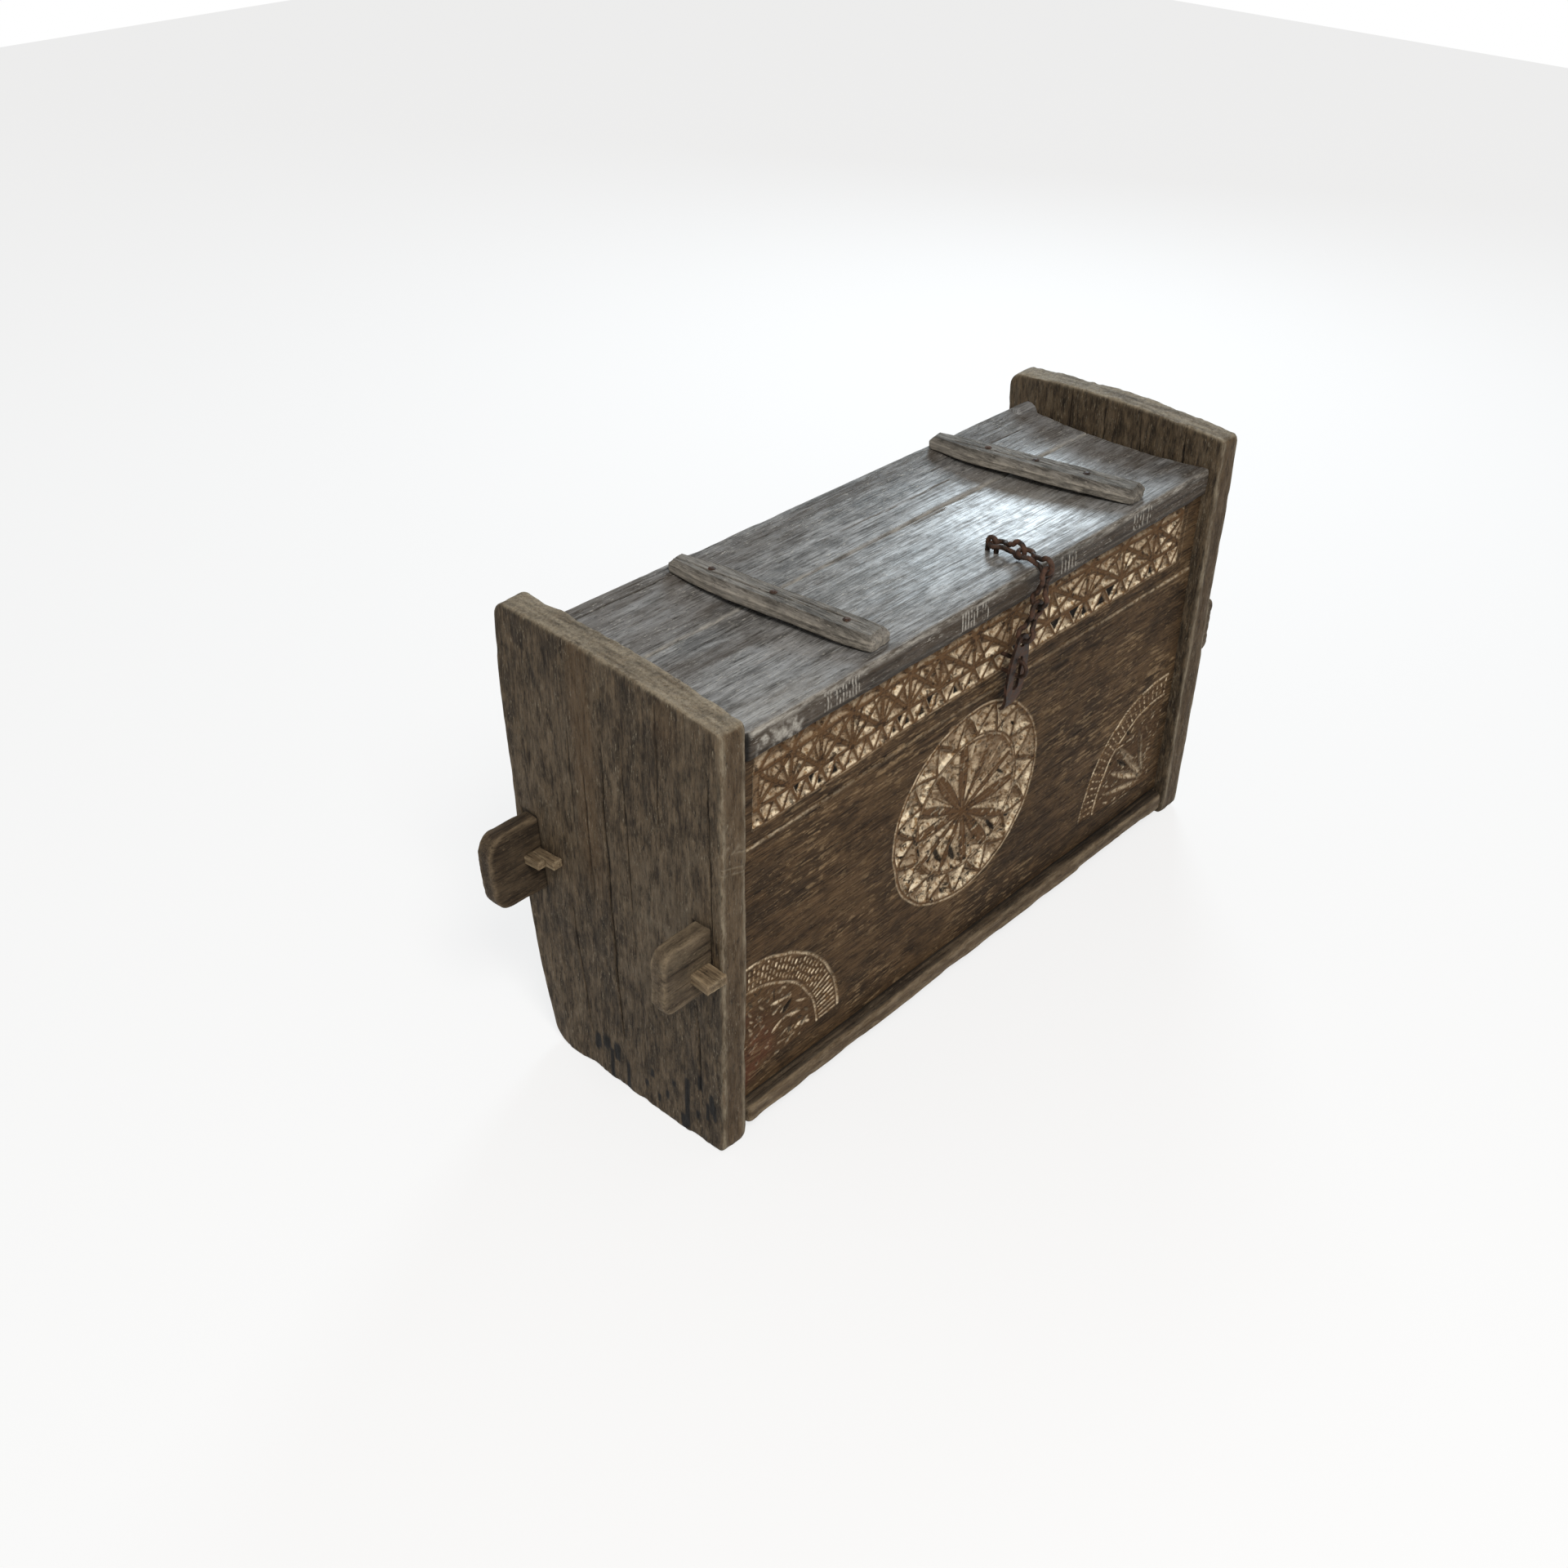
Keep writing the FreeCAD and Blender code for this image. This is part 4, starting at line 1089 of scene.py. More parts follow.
    def veins(self, relief: Relief, reach: Array, angle: Array, rim: Array) -> None:
        """Thin radial lines between the ribs, at the middle angle of each pair.

        Args:
            relief: The face to cut.
            reach: Distance from the hub.
            angle: Angle about the hub.
            rim: Distance in from the inner circle.
        """
        turns = np.sort([turn for turn, _, _ in self.ribs])
        middles = np.radians((turns + np.append(turns[1:], turns[0] + 360.0)) / 2.0)
        for middle in middles:
            away = np.abs(np.mod(angle - middle + np.pi, 2.0 * np.pi) - np.pi) * reach
            line = tent(away, 1.8) * ((reach > 38.0) & (rim > 5.0))
            relief.depth -= 1.6 * line * (relief.depth > 1.6)
            relief.hollow -= 0.25 * line * relief.hollow

    def gouges(self, relief: Relief, r: Array, outer: float, lower: Array) -> None:
        """Many short cuts that crowd the lower half: a fine cell pattern, cut where its value is high."""
        places = columns(relief.x + 0.35 * relief.z, relief.z - 0.2 * relief.x)
        cells = cloud(places, (9.0, 5.0, 1.0), 431, 2)
        zone = (0.45 + 0.55 * lower) * smooth((r - 30.0) / 30.0) * (r < outer - 4.0)
        relief.chip(cells - 0.28, self.gouge_wall, zone, 0.95)
        relief.shade(smooth((cells - 0.66) / 0.1) * zone * 0.9)


@dataclass
class Fan:
    """A quarter ornament in a lower corner: two scribed arcs, hatching between them, cuts within."""

    centre: Spot
    reach: float
    inner: float
    side: int
    pitch: float
    petals: tuple[Petal, ...]
    stain: tuple[Spot, float] | None = None
    row: float = 11.0
    outer_arc: Groove = Groove(3.1, 1.9)
    inner_arc: Groove = Groove(2.9, 1.8)
    hatch: Groove = Groove(1.9, 2.3)
    chip_wall: Wall = Wall(3.0, 1.8)

    def carve(self, relief: Relief) -> None:
        """Cuts the fan: arcs as V grooves, hatching by the angle about the corner, then each petal.

        Args:
            relief: The face to cut.
        """
        x, z = relief.x, relief.z
        ox, oz = (x - self.centre[0]) * self.side, z - self.centre[1]
        wander = cloud(columns(x, z), (35.0, 35.0, 1.0), 511, 2)
        r, angle = np.hypot(ox, oz) + 1.5 * wander, np.arctan2(oz, ox)
        within = (angle > 0.06) & (angle < np.pi / 2.0 + 0.1)
        rope = np.abs(np.mod((angle * r + 0.5 * r) / 5.5, 1.0) - 0.5) * 2.0
        chipped = np.clip(0.5 + 0.8 * rope + 0.5 * wander, 0.0, 1.0)
        relief.groove(np.where(within, r - self.reach, AWAY), self.outer_arc, chipped)
        relief.groove(np.where(within, r - self.inner, AWAY), self.inner_arc, chipped)
        middle = (self.reach + self.inner) / 2.0
        step = self.pitch / middle
        number = np.floor(angle / step)
        stroke = np.abs(np.mod(angle / step, 1.0) - 0.5) * step * middle
        along = (r - self.inner) / self.row + hashed(columns(number), 53)
        row = np.abs(np.mod(along, 1.0) - 0.5)
        chance = hashed(columns(number, np.floor(along)), 59)
        broken = np.maximum(smooth((0.38 - row) / 0.12), smooth((0.55 - angle) / 0.1) * (self.side > 0))
        zone = within * smooth((r - self.inner - 3.0) / 3.0) * smooth((self.reach - 3.0 - r) / 3.0)
        hatched = self.hatch.depth * tent(stroke, self.hatch.width)
        relief.cut(hatched * broken * zone, 0.45 + 0.9 * chance)
        cells = cloud(columns(x + 0.4 * z, z - 0.3 * x), (11.0, 5.0, 1.0), 523, 2)
        chips = within * smooth((self.inner - 5.0 - r) / 6.0)
        relief.chip(cells - 0.42, self.chip_wall, chips, 0.75)
        relief.shade(0.7 * smooth((cells - 0.74) / 0.1) * chips)
        for petal in self.petals:
            relief.stroke(*petal)
        relief.carved = np.maximum(relief.carved, 0.42 * within * smooth((self.reach - r) / 4.0))
        if self.stain is not None:
            (sx, sz), size = self.stain
            spread = 1.0 - np.hypot(x - sx, (z - sz) * 0.7) / size
            relief.red = np.maximum(relief.red, 0.6 * smooth(spread + 0.4 * wander))


@dataclass
class FrontBoard:
    """The carved front: face tiles over a plain core, with a tenon through each end board."""

    face: float = 20.0
    backing: float = 30.0
    back: float = 44.0
    foot: float = 45.0
    top: float = 545.7
    half: float = 478.0
    tenon: tuple[float, float] = (258.0, 346.0)
    tenon_tips: tuple[float, float] = (-580.0, 560.0)
    parting: float = 424.0
    joints: tuple[float, float] = (-190.0, 126.0)
    fine_grid: float = 1.25
    right_grid: float = 1.3
    left_petals: tuple[Petal, ...] = (
        ((-385, 136), (-367, 152), 6.0, 5.0, 0.1, 0.95), ((-408, 166), (-380, 161), 4.0, 2.4, 0.95, 0.0),
        ((-405, 118), (-384, 130), 3.6, 2.2, 0.9, 0.0), ((-380, 131), (-350, 121), 4.0, 2.6, 0.7, 0.0),
        ((-362, 144), (-340, 134), 2.6, 1.8, 0.95, 0.0), ((-363, 98), (-348, 103), 4.0, 2.8, 1.0, 0.0),
        ((-343, 99), (-333, 93), 3.4, 2.4, 1.0, 0.0), ((-436, 204), (-430, 194), 1.8, 1.8, 0.2, 0.7),
        ((-430, 194), (-422, 203), 1.8, 1.8, 0.2, 0.7), ((-446, 194), (-438, 184), 3.4, 2.6, 0.3, 0.8),
        ((-446, 180), (-440, 168), 3.0, 2.4, 0.7, 0.3), ((-445, 165), (-436, 156), 2.6, 2.0, 0.9, 0.0),
        ((-400, 190), (-400, 168), 1.8, 2.2, 0.1, 0.8), ((-446, 154), (-438, 143), 2.6, 2.0, 0.9, 0.0),
        ((-388, 184), (-378, 176), 2.2, 1.8, 0.8, 0.0), ((-372, 178), (-382, 188), 2.0, 1.6, 0.4, 0.3),
        ((-418, 101), (-408, 101), 3.4, 2.0, 0.7, 0.0), ((-396, 95), (-376, 92), 2.4, 1.4, 0.7, 0.0),
        ((-428, 178), (-418, 166), 2.6, 1.6, 0.6, 0.0), ((-345, 122), (-336, 112), 3.0, 2.0, 0.3, 0.6),
        ((-357, 113), (-347, 108), 3.0, 2.2, 0.2, 0.7), ((-427, 150), (-420, 136), 2.2, 1.4, 0.6, 0.0),
    )
    right_petals: tuple[Petal, ...] = (
        ((424, 89), (330, 139), 8.0, 3.2, 0.75, 0.0), ((424, 90), (346, 178), 8.0, 3.4, 0.5, 0.0),
        ((376, 130), (343, 156), 5.0, 4.6, 0.1, 0.9), ((425, 92), (396, 186), 8.0, 3.6, 0.2, 0.35),
        ((426, 92), (404, 176), 2.0, 2.2, 0.95, 0.0), ((412, 97), (374, 118), 3.0, 2.6, 1.0, 0.0),
        ((421, 95), (396, 122), 2.8, 2.4, 1.0, 0.0), ((420, 84), (318, 106), 7.0, 2.6, 0.6, 0.0),
        ((332, 75), (402, 75.5), 1.6, 1.4, 0.95, 0.0), ((332, 178), (364, 178), 2.2, 1.8, 0.9, 0.0),
        ((322, 160), (331, 154), 4.0, 3.4, 0.2, 0.9), ((361, 198), (370, 188), 4.0, 3.0, 0.2, 0.9),
        ((318, 122), (330, 116), 3.0, 2.0, 0.9, 0.1), ((314, 112), (322, 104), 2.6, 2.0, 0.8, 0.2),
        ((378, 200), (372, 190), 2.6, 2.0, 0.9, 0.0), ((366, 158), (398, 132), 2.4, 1.8, 0.8, 0.0),
        ((318, 92), (336, 84), 3.0, 1.8, 0.8, 0.0), ((412, 188), (424, 166), 2.4, 1.8, 0.6, 0.2),
    )

    def ornaments(self) -> tuple[Band | Rosette | Fan, ...]:
        """Every ornament of the face."""
        return (
            Band(),
            Rosette(),
            Fan(
                centre=(-452.0, 75.0), reach=173.0, inner=133.0, side=1, pitch=7.6,
                petals=self.left_petals, stain=((-436.0, 108.0), 62.0),
            ),
            Fan(
                centre=(440.0, 75.0), reach=181.0, inner=147.0, side=-1, pitch=11.0,
                petals=self.right_petals,
            ),
        )

    @staticmethod
    def paled(marks: Marks, points: Array, _normals: Array) -> None:
        """Turns a tenon paler in broken patches, where weather and hands reach it."""
        marks.pale = 0.35 * smooth(0.6 + cloud(points, (40.0, 12.0, 9.0), 73, 3))

    def tile(self, name: str, x_ends: Spot, z_ends: Spot, step: float) -> Piece:
        """One tile: the face is a height field over x and z, closed by a skirt and a flat back.

        Args:
            name: The tile's name.
            x_ends: From and to along the board.
            z_ends: From and to in height.
            step: Grid step.

        Returns:
            The tile.
        """
        xs, zs = (np.linspace(*ends, int(round((ends[1] - ends[0]) / step)) + 1) for ends in (x_ends, z_ends))
        x, z = (grid.ravel() for grid in np.meshgrid(xs, zs, indexing="ij"))
        relief = Relief(x, z)
        for ornament in self.ornaments():
            ornament.carve(relief)
        places = columns(x, z)
        fibres, waves = cloud(places, (150.0, 6.0, 1.0), 201, 3), cloud(places, (140.0, 60.0, 1.0), 211, 2)
        scratch = np.clip(cloud(places, (20.0, 2.6, 1.0), 221, 2) - 0.55, 0.0, 1.0)
        patchy = smooth(0.45 + cloud(places, (110.0, 70.0, 1.0), 231, 2))
        y = self.face + relief.depth + np.clip(0.4 + (0.28 * fibres + 0.7 * waves), 0.0, 2.0) + 0.9 * scratch
        front = columns(x, y, z)
        # Which way each point of the carving faces, up and to the left, used for painted light.
        slope_x, slope_z = np.gradient(y.reshape(len(xs), len(zs)), xs, zs)
        facing = (slope_z - 0.35 * slope_x).ravel()
        # Facets facing up get more of the pale cut tint: painted highlight.
        lit_facing_up = np.clip(0.35 + 1.1 * facing, 0.0, 1.0)
        # Facets facing down get the dark tint: painted shade.
        relief.shade(0.42 * np.clip(-1.2 * facing - 0.1, 0.0, 1.0) * relief.carved)
        face, ring = grid_faces(len(xs), len(zs))
        low = len(x) + np.arange(len(ring))
        backs = front[ring] * [1.0, 0.0, 1.0] + [0.0, self.backing, 0.0]
        middle = [[np.mean(x_ends), self.backing, np.mean(z_ends)]]
        quads = np.concatenate([face, strip(ring, low), cap(low, len(x) + len(ring))])
        # The hollow mark, raised on facets facing up, carries that painted highlight.
        marks = {
            "hollow": relief.hollow * (0.2 + 0.8 * lit_facing_up), "carved": relief.carved, "pit": relief.pit,
            "red": relief.red, "pale": 0.5 * smooth(scratch / 0.15) * patchy * (1.0 - relief.carved),
        }
        plain = np.zeros(len(ring) + 1)
        marks = {mark: np.concatenate([values, plain]) for mark, values in marks.items()}
        return Piece(name, np.concatenate([front, backs, middle]), quads, marks)

    def tenon_shape(self, tip: float) -> Callable[[Array], Array]:
        """Board to chest for a tenon, from its tip inwards."""
        return lambda p: columns(tip - np.sign(tip) * p[:, 0], self.back - p[:, 2], self.tenon[0] + p[:, 1])

    def build(self, finishes: Finishes) -> None:
        """Builds and dresses the face, the core and the tenons."""
        lower, (first, second) = (self.foot, self.parting), self.joints
        pieces = [
            self.tile("front_frieze", (-self.half, self.half), (self.parting, self.top), self.fine_grid),
            self.tile("front_left_field", (-self.half, first), lower, self.fine_grid),
            self.tile("front_rosette_field", (first, second), lower, self.fine_grid),
            self.tile("front_right_field", (second, self.half), lower, self.right_grid),
            Plank(
                "front_core", 2.0 * self.half, self.top - self.foot, self.back - self.backing,
                lambda p: columns(p[:, 0] - self.half, self.backing + p[:, 2], self.foot + p[:, 1]),
                (12.0, 4.0), SQUARE, (2.0, 0.5), ridge=0.4, dent=0.5, worn=0.8, seed=61,
            ).build(),
        ]
        for piece in pieces:
            piece.make(Body.CARCASS, Slot.PANEL, finishes[Slot.PANEL], ["front_board"])
        for side, tip in zip(("left", "right"), self.tenon_tips):
            Plank(
                f"front_{side}_tenon", abs(tip) - self.half, self.tenon[1] - self.tenon[0],
                self.back - self.face, self.tenon_shape(tip), (3.0, 1.4), (14.0, 1.0, 1.0, 18.0), (3.5, 3.5),
                ridge=0.5, dent=0.7, worn=1.8, seed=67, details=self.paled,
                cracks=(Crack(0.0, 120.0, 30.0, 0.02, 1.3, 3.0), Crack(0.0, 120.0, 58.0, -0.03, 1.3, 3.0)),
            ).build().make(Body.CARCASS, Slot.PANEL, finishes[Slot.RAIL], ["front_board"])


# The plain boards


@dataclass
class EndBoards:
    """The two standing planks: straight front edge, crowned top, bowed back edge."""

    inner: float = 470.0
    thickness: float = 40.0
    depth: float = 360.0
    foot: float = 306.0
    bow: float = 17.0
    pivot: float = 302.0
    left_heights: Triple = (611.0, 628.0, 634.0)
    right_heights: Triple = (626.0, 635.0, 626.0)
    scribed: tuple[float, ...] = (424.0, 432.0, 452.0, 459.0)
    scribed_line: Groove = Groove(1.7, 1.0)
    mortise_rim: Groove = Groove(3.5, 3.0)
    streak: Spot = (214.0, 450.0)
    knot: Spot = (82.0, 585.0)
    band_height: float = 306.0
    band_ends: Spot = (44.0, 150.0)
    drips: tuple[tuple[float, float, float, float], ...] = (
        (205, 60, 7.0, 8), (222, 56, 5.0, 16), (186, 60, 5.0, 18), (196, 50, 3.0, 44), (166, 46, 3.0, 40),
        (61, 86, 3.0, 74), (66, 22, 5.0, 20), (38, 106, 3.0, 18), (20, 84, 4.0, 22), (27, 70, 2.0, 26),
        (15, 72, 2.0, 22), (84, 70, 2.0, 8), (122, 62, 2.5, 8), (96, 44, 2.5, 8), (132, 40, 2.0, 7),
        (110, 30, 2.0, 8), (44, 44, 2.0, 9),
    )
    mortises: tuple[tuple[float, float, float, float, float], ...] = (
        (20.0, 44.0, 258.0, 346.0, 0.0), (307.0, 333.0, 251.0, 353.0, 0.082),
    )
    cracks: tuple[Crack, ...] = (
        Crack(60.0, 560.0, 192.0, -0.012, 2.2, 7.0), Crack(270.0, 500.0, 219.0, 0.0, 1.4, 4.0),
        Crack(360.0, 530.0, 245.0, 0.0, 2.0, 3.5), Crack(220.0, 600.0, 150.0, 0.01, 1.4, 3.5),
        Crack(330.0, 590.0, 17.0, 0.0, 1.6, 5.0), Crack(60.0, 230.0, 42.0, 0.0, 1.4, 4.0),
        Crack(10.0, 300.0, 262.0, 0.02, 1.4, 3.0), Crack(420.0, 634.0, 96.0, 0.0, 1.4, 3.0),
        Crack(200.0, 634.0, 128.0, 0.01, 1.8, 5.0, -1), Crack(420.0, 634.0, 250.0, -0.01, 1.8, 5.0, -1),
        Crack(460.0, 634.0, 60.0, 0.0, 1.8, 5.0, -1), Crack(440.0, 634.0, 190.0, 0.0, 1.5, 4.0, -1),
    )

    def shape(self, sign: int, heights: Triple) -> Callable[[Array], Array]:
        """Bends the blank: one parabola through three heights for the top, one through three depths behind.

        Args:
            sign: -1 for the left board, 1 for the right.
            heights: Height at the front, the crown and the back.

        Returns:
            The function from board to chest millimetres.
        """
        low, crown, high = heights
        middle = (self.depth + self.foot) / 2.0 + self.bow

        def curve(t: Array, a: float, b: float, c: float) -> Array:
            """The parabola through a at 0, b at a half and c at 1."""
            return a * (1 - t) * (1 - 2 * t) + 4 * b * t * (1 - t) + c * t * (2 * t - 1)

        def bend(points: Array) -> Array:
            """Board to chest."""
            s, t = points[:, 0] / high, points[:, 1] / self.depth
            y = t * curve(s, self.foot, middle, self.depth)
            z = s * curve(t, low, crown, high)
            return columns(sign * (self.inner + points[:, 2]), y, np.maximum(z, 0.0))

        return bend

    def details(self, marks: Marks, points: Array, normals: Array) -> None:
        """Scribed lines on the front edge, dark joints round the tenons, drips at the foot and a warm streak.

        Args:
            marks: What the details add to.
            points: Chest millimetres.
            normals: Outward directions in board coordinates.
        """
        x, y, z = np.abs(points[:, 0]), points[:, 1], points[:, 2]
        left, outer, front = points[:, 0] < 0, normals[:, 2] > 0.5, normals[:, 1] < -0.7
        for height in self.scribed:
            near = np.abs(z - height - 0.3 * (x - 490.0))
            line = self.scribed_line.depth * tent(near, self.scribed_line.width)
            marks.depth = np.maximum(marks.depth, line * front * left)
        marks.pale = 0.6 * smooth(marks.depth)
        for y_low, y_high, z_low, z_high, lean in self.mortises:
            yy = y - lean * (z - self.pivot)
            beyond = np.maximum.reduce([y_low - yy, yy - y_high, z_low - z, z - z_high])
            rim = tent(beyond, self.mortise_rim.width) * outer
            marks.depth = np.maximum(marks.depth, self.mortise_rim.depth * rim)
            marks.dark = np.maximum(marks.dark, 0.9 * smooth(rim))
        ragged = cloud(points, (9.0, 9.0, 30.0), 97, 3)
        for at, top, size, run in self.drips:
            wide = 1.3 * size + 1.2
            blob = 1.0 - np.hypot(y - at, np.where(z > top, z - top, np.maximum(top - run - z, 0.0))) / wide
            stained = smooth(2.6 * blob + 0.7 * ragged) * outer * left * (blob > -0.3)
            marks.dark = np.maximum(marks.dark, stained)
        leaning = np.abs(y - self.streak[0] - 0.03 * (z - self.streak[1]))
        streak = smooth(1.4 - leaning / 20.0) * smooth((z - 250.0) / 120.0)
        ends = smooth((self.band_ends[1] - y) / 20.0) * smooth((y - self.band_ends[0]) / 20.0)
        band = smooth(1.0 - np.abs(z - self.band_height) / 14.0) * ends
        knot = smooth(1.3 - np.hypot(y - self.knot[0], (z - self.knot[1]) / 2.5) / 20.0)
        marks.warm = np.maximum.reduce([0.75 * streak * outer * left, 0.5 * knot * outer * left, 0.6 * front])
        weathered = cloud(points, (5.0, 45.0, 30.0), 99, 3)
        capped = smooth((normals[:, 0] - 0.5) / 0.3) * np.clip(0.65 + 0.6 * weathered, 0.1, 0.9)
        marks.pale = np.maximum.reduce([marks.pale, 0.2 * band * outer, capped])

    def build(self, finishes: Finishes) -> None:
        """Builds and dresses both boards."""
        lines = tuple(np.concatenate([np.arange(h - 8.0, h + 9.0, 1.0) for h in self.scribed]))
        for side, sign, heights, seed, scribed in (
            ("left", -1, self.left_heights, 3, lines), ("right", 1, self.right_heights, 41, ()),
        ):
            Plank(
                f"{side}_end", heights[2], self.depth, self.thickness, self.shape(sign, heights), (5.0, 1.6),
                (14.0, 9.0, 20.0, 25.0), (4.0, 4.0), ridge=0.5, dent=1.3, worn=1.8, seed=seed,
                cracks=self.cracks, details=self.details, line_marks=(scribed, ()), swell=1.0,
            ).build().make(Body.CARCASS, Slot.END, finishes[Slot.END], [f"{side}_end_board"])


@dataclass
class BackBoard:
    """The leaning back wall with its tenons."""

    face: float = 333.0
    thickness: float = 26.0
    lean: float = 0.0822
    pivot: float = 302.0
    foot: float = 45.0
    top: float = 545.4
    half: float = 478.0
    tenon: tuple[float, float] = (251.0, 353.0)
    tips: tuple[float, float] = (-585.0, 560.0)

    def place(self, x: Array, z: Array, n: Array) -> Array:
        """A place on the leaning board: its face moves back as it rises."""
        return columns(x, self.face - self.thickness + n + self.lean * (z - self.pivot), z)

    def build(self, finishes: Finishes) -> None:
        """Builds and dresses the wall and its tenons."""
        pieces = [Plank(
            "back_wall", 2.0 * self.half, self.top - self.foot, self.thickness,
            lambda p: self.place(p[:, 0] - self.half, self.foot + p[:, 1], p[:, 2]),
            (8.0, 2.6), SQUARE, (2.0, 2.0), ridge=0.5, dent=1.2, worn=1.2, seed=131,
            cracks=(Crack(80.0, 700.0, 180.0, 0.01, 2.0, 5.0), Crack(300.0, 940.0, 330.0, -0.01, 2.0, 5.0)),
        )]
        for side, tip in zip(("left", "right"), self.tips):
            pieces.append(Plank(
                f"back_{side}_tenon", abs(tip) - self.half, self.tenon[1] - self.tenon[0], self.thickness,
                lambda p, tip=tip: self.place(tip - np.sign(tip) * p[:, 0], self.tenon[0] + p[:, 1], p[:, 2]),
                (3.0, 1.5), (24.0, 1.0, 1.0, 26.0), (4.0, 4.0), ridge=0.5, dent=0.8, worn=2.0, seed=137,
                cracks=(Crack(0.0, 120.0, 36.0, 0.02, 1.4, 3.0), Crack(0.0, 120.0, 66.0, -0.03, 1.4, 3.0)),
            ))
        for plank in pieces:
            plank.build().make(Body.CARCASS, Slot.INNER, finishes[Slot.INNER], ["back_board"])


@dataclass
class FloorBoards:
    """The two floor boards; the front one shows as a worn nosing under the carved face."""

    low: float = 16.0
    high: float = 45.0
    nosing: tuple[float, float] = (-462.0, 466.0)
    nosing_front: float = 3.0
    step_back: float = 20.0
    seam: float = 162.0
    back: float = 309.0
    half: float = 482.0
    slit: float = 0.3
    nosing_lines: tuple[float, ...] = (16.0, 17.0, 17.75, 18.5, 19.5)
    cracks: tuple[Crack, ...] = (
        Crack(0.0, 420.0, 9.0, 0.0, 1.0, 2.0), Crack(500.0, 900.0, 12.0, 0.0, 1.0, 2.0),
    )

    def front_shape(self, points: Array) -> Array:
        """The front board widens behind its nosing to reach into both end boards."""
        share = smooth((points[:, 1] - (self.step_back - self.nosing_front)) / 1.5)
        length = self.nosing[1] - self.nosing[0]
        from_middle = points[:, 0] / length - 0.5
        reach = length + share * (2.0 * self.half - length)
        x = from_middle * reach + (1.0 - share) * sum(self.nosing) / 2.0
        return columns(x, self.nosing_front + points[:, 1], self.low + points[:, 2])

    @staticmethod
    def details(marks: Marks, points: Array, normals: Array) -> None:
        """A dark joint under the carved face, a grimy top, and a tan front with short pale scuffs.

        Args:
            marks: What the details add to.
            points: Chest millimetres.
            normals: Outward directions in board coordinates.
        """
        upper, front = smooth((normals[:, 2] - 0.5) / 0.3), normals[:, 1] < -0.6
        streaks = cloud(points, (120.0, 4.0, 4.0), 163, 3)
        scuffs = cloud(points, (16.0, 8.0, 5.0), 167, 3)
        joint = 0.85 * smooth((points[:, 1] - 15.0) / 4.0)
        marks.dark = upper * np.maximum(joint, 0.5 * smooth(0.4 + streaks))
        marks.warm = 0.5 * front
        marks.pale = 0.5 * smooth((scuffs - 0.15) / 0.4) * front

    def build(self, finishes: Finishes) -> None:
        """Builds and dresses both boards."""
        length, thick = self.nosing[1] - self.nosing[0], self.high - self.low
        Plank(
            "floor_front", length, self.seam - self.nosing_front - self.slit, thick, self.front_shape,
            (5.0, 1.6), (8.0, 8.0, 1.0, 1.0), (7.0, 4.0), ridge=0.6, dent=0.8, worn=2.4, seed=151,
            cracks=self.cracks, details=self.details, line_marks=((), self.nosing_lines),
        ).build().make(Body.CARCASS, Slot.RAIL, finishes[Slot.RAIL], ["floor_front_board"])
        Plank(
            "floor_back", 2.0 * self.half, self.back - self.seam - self.slit, thick,
            lambda p: columns(p[:, 0] - self.half, self.seam + self.slit + p[:, 1], self.low + p[:, 2]),
            (12.0, 3.5), SQUARE, (1.5, 1.5), ridge=0.5, dent=0.8, worn=1.0, seed=157,
        ).build().make(Body.CARCASS, Slot.INNER, finishes[Slot.INNER], ["floor_back_board"])


@dataclass(frozen=True)
class Wedge:
    """One key across a tenon: its node, side, near and far reach at each end, ends, height and lean."""

    node: str
    side: int
    near: tuple[float, float]
    far: tuple[float, float]
    y_ends: tuple[float, float]
    low: float
    height: float
    lean: float = 0.0
    outer: float = 510.0
    pivot: Spot = (333.0, 302.0)

    def shape(self, points: Array) -> Array:
        """Board to chest: v runs from the near face to the far one, both slanting along the key."""
        share, across = points[:, 0] / self.length, points[:, 1] / self.wide
        near = self.near[0] + (self.near[1] - self.near[0]) * share
        far = self.far[0] + (self.far[1] - self.far[0]) * share
        y, z = self.y_ends[0] + points[:, 0], self.low + points[:, 2]
        turned_y = y + self.lean * (z - self.pivot[1])
        turned_z = z - self.lean * (y - self.pivot[0])
        return columns(self.side * (self.outer + near + (far - near) * across), turned_y, turned_z)

    @property
    def length(self) -> float:
        """Length of the key."""
        return self.y_ends[1] - self.y_ends[0]

    @property
    def wide(self) -> float:
        """Greatest width of the key."""
        return max(self.far) - min(self.near)

    def build(self, finishes: Finishes) -> None:
        """Builds and dresses the key."""
        Plank(
            self.node + "_key", self.length, self.wide, self.height, self.shape, (2.2, 1.4),
            rims=(1.8, 1.8), ridge=0.35, dent=0.6, worn=1.2, seed=171,
            cracks=(Crack(0.0, 40.0, 0.5 * self.wide, 0.05, 1.0, 2.0),),
        ).build().make(Body.CARCASS, Slot.WEDGE, finishes[Slot.WEDGE], [self.node])


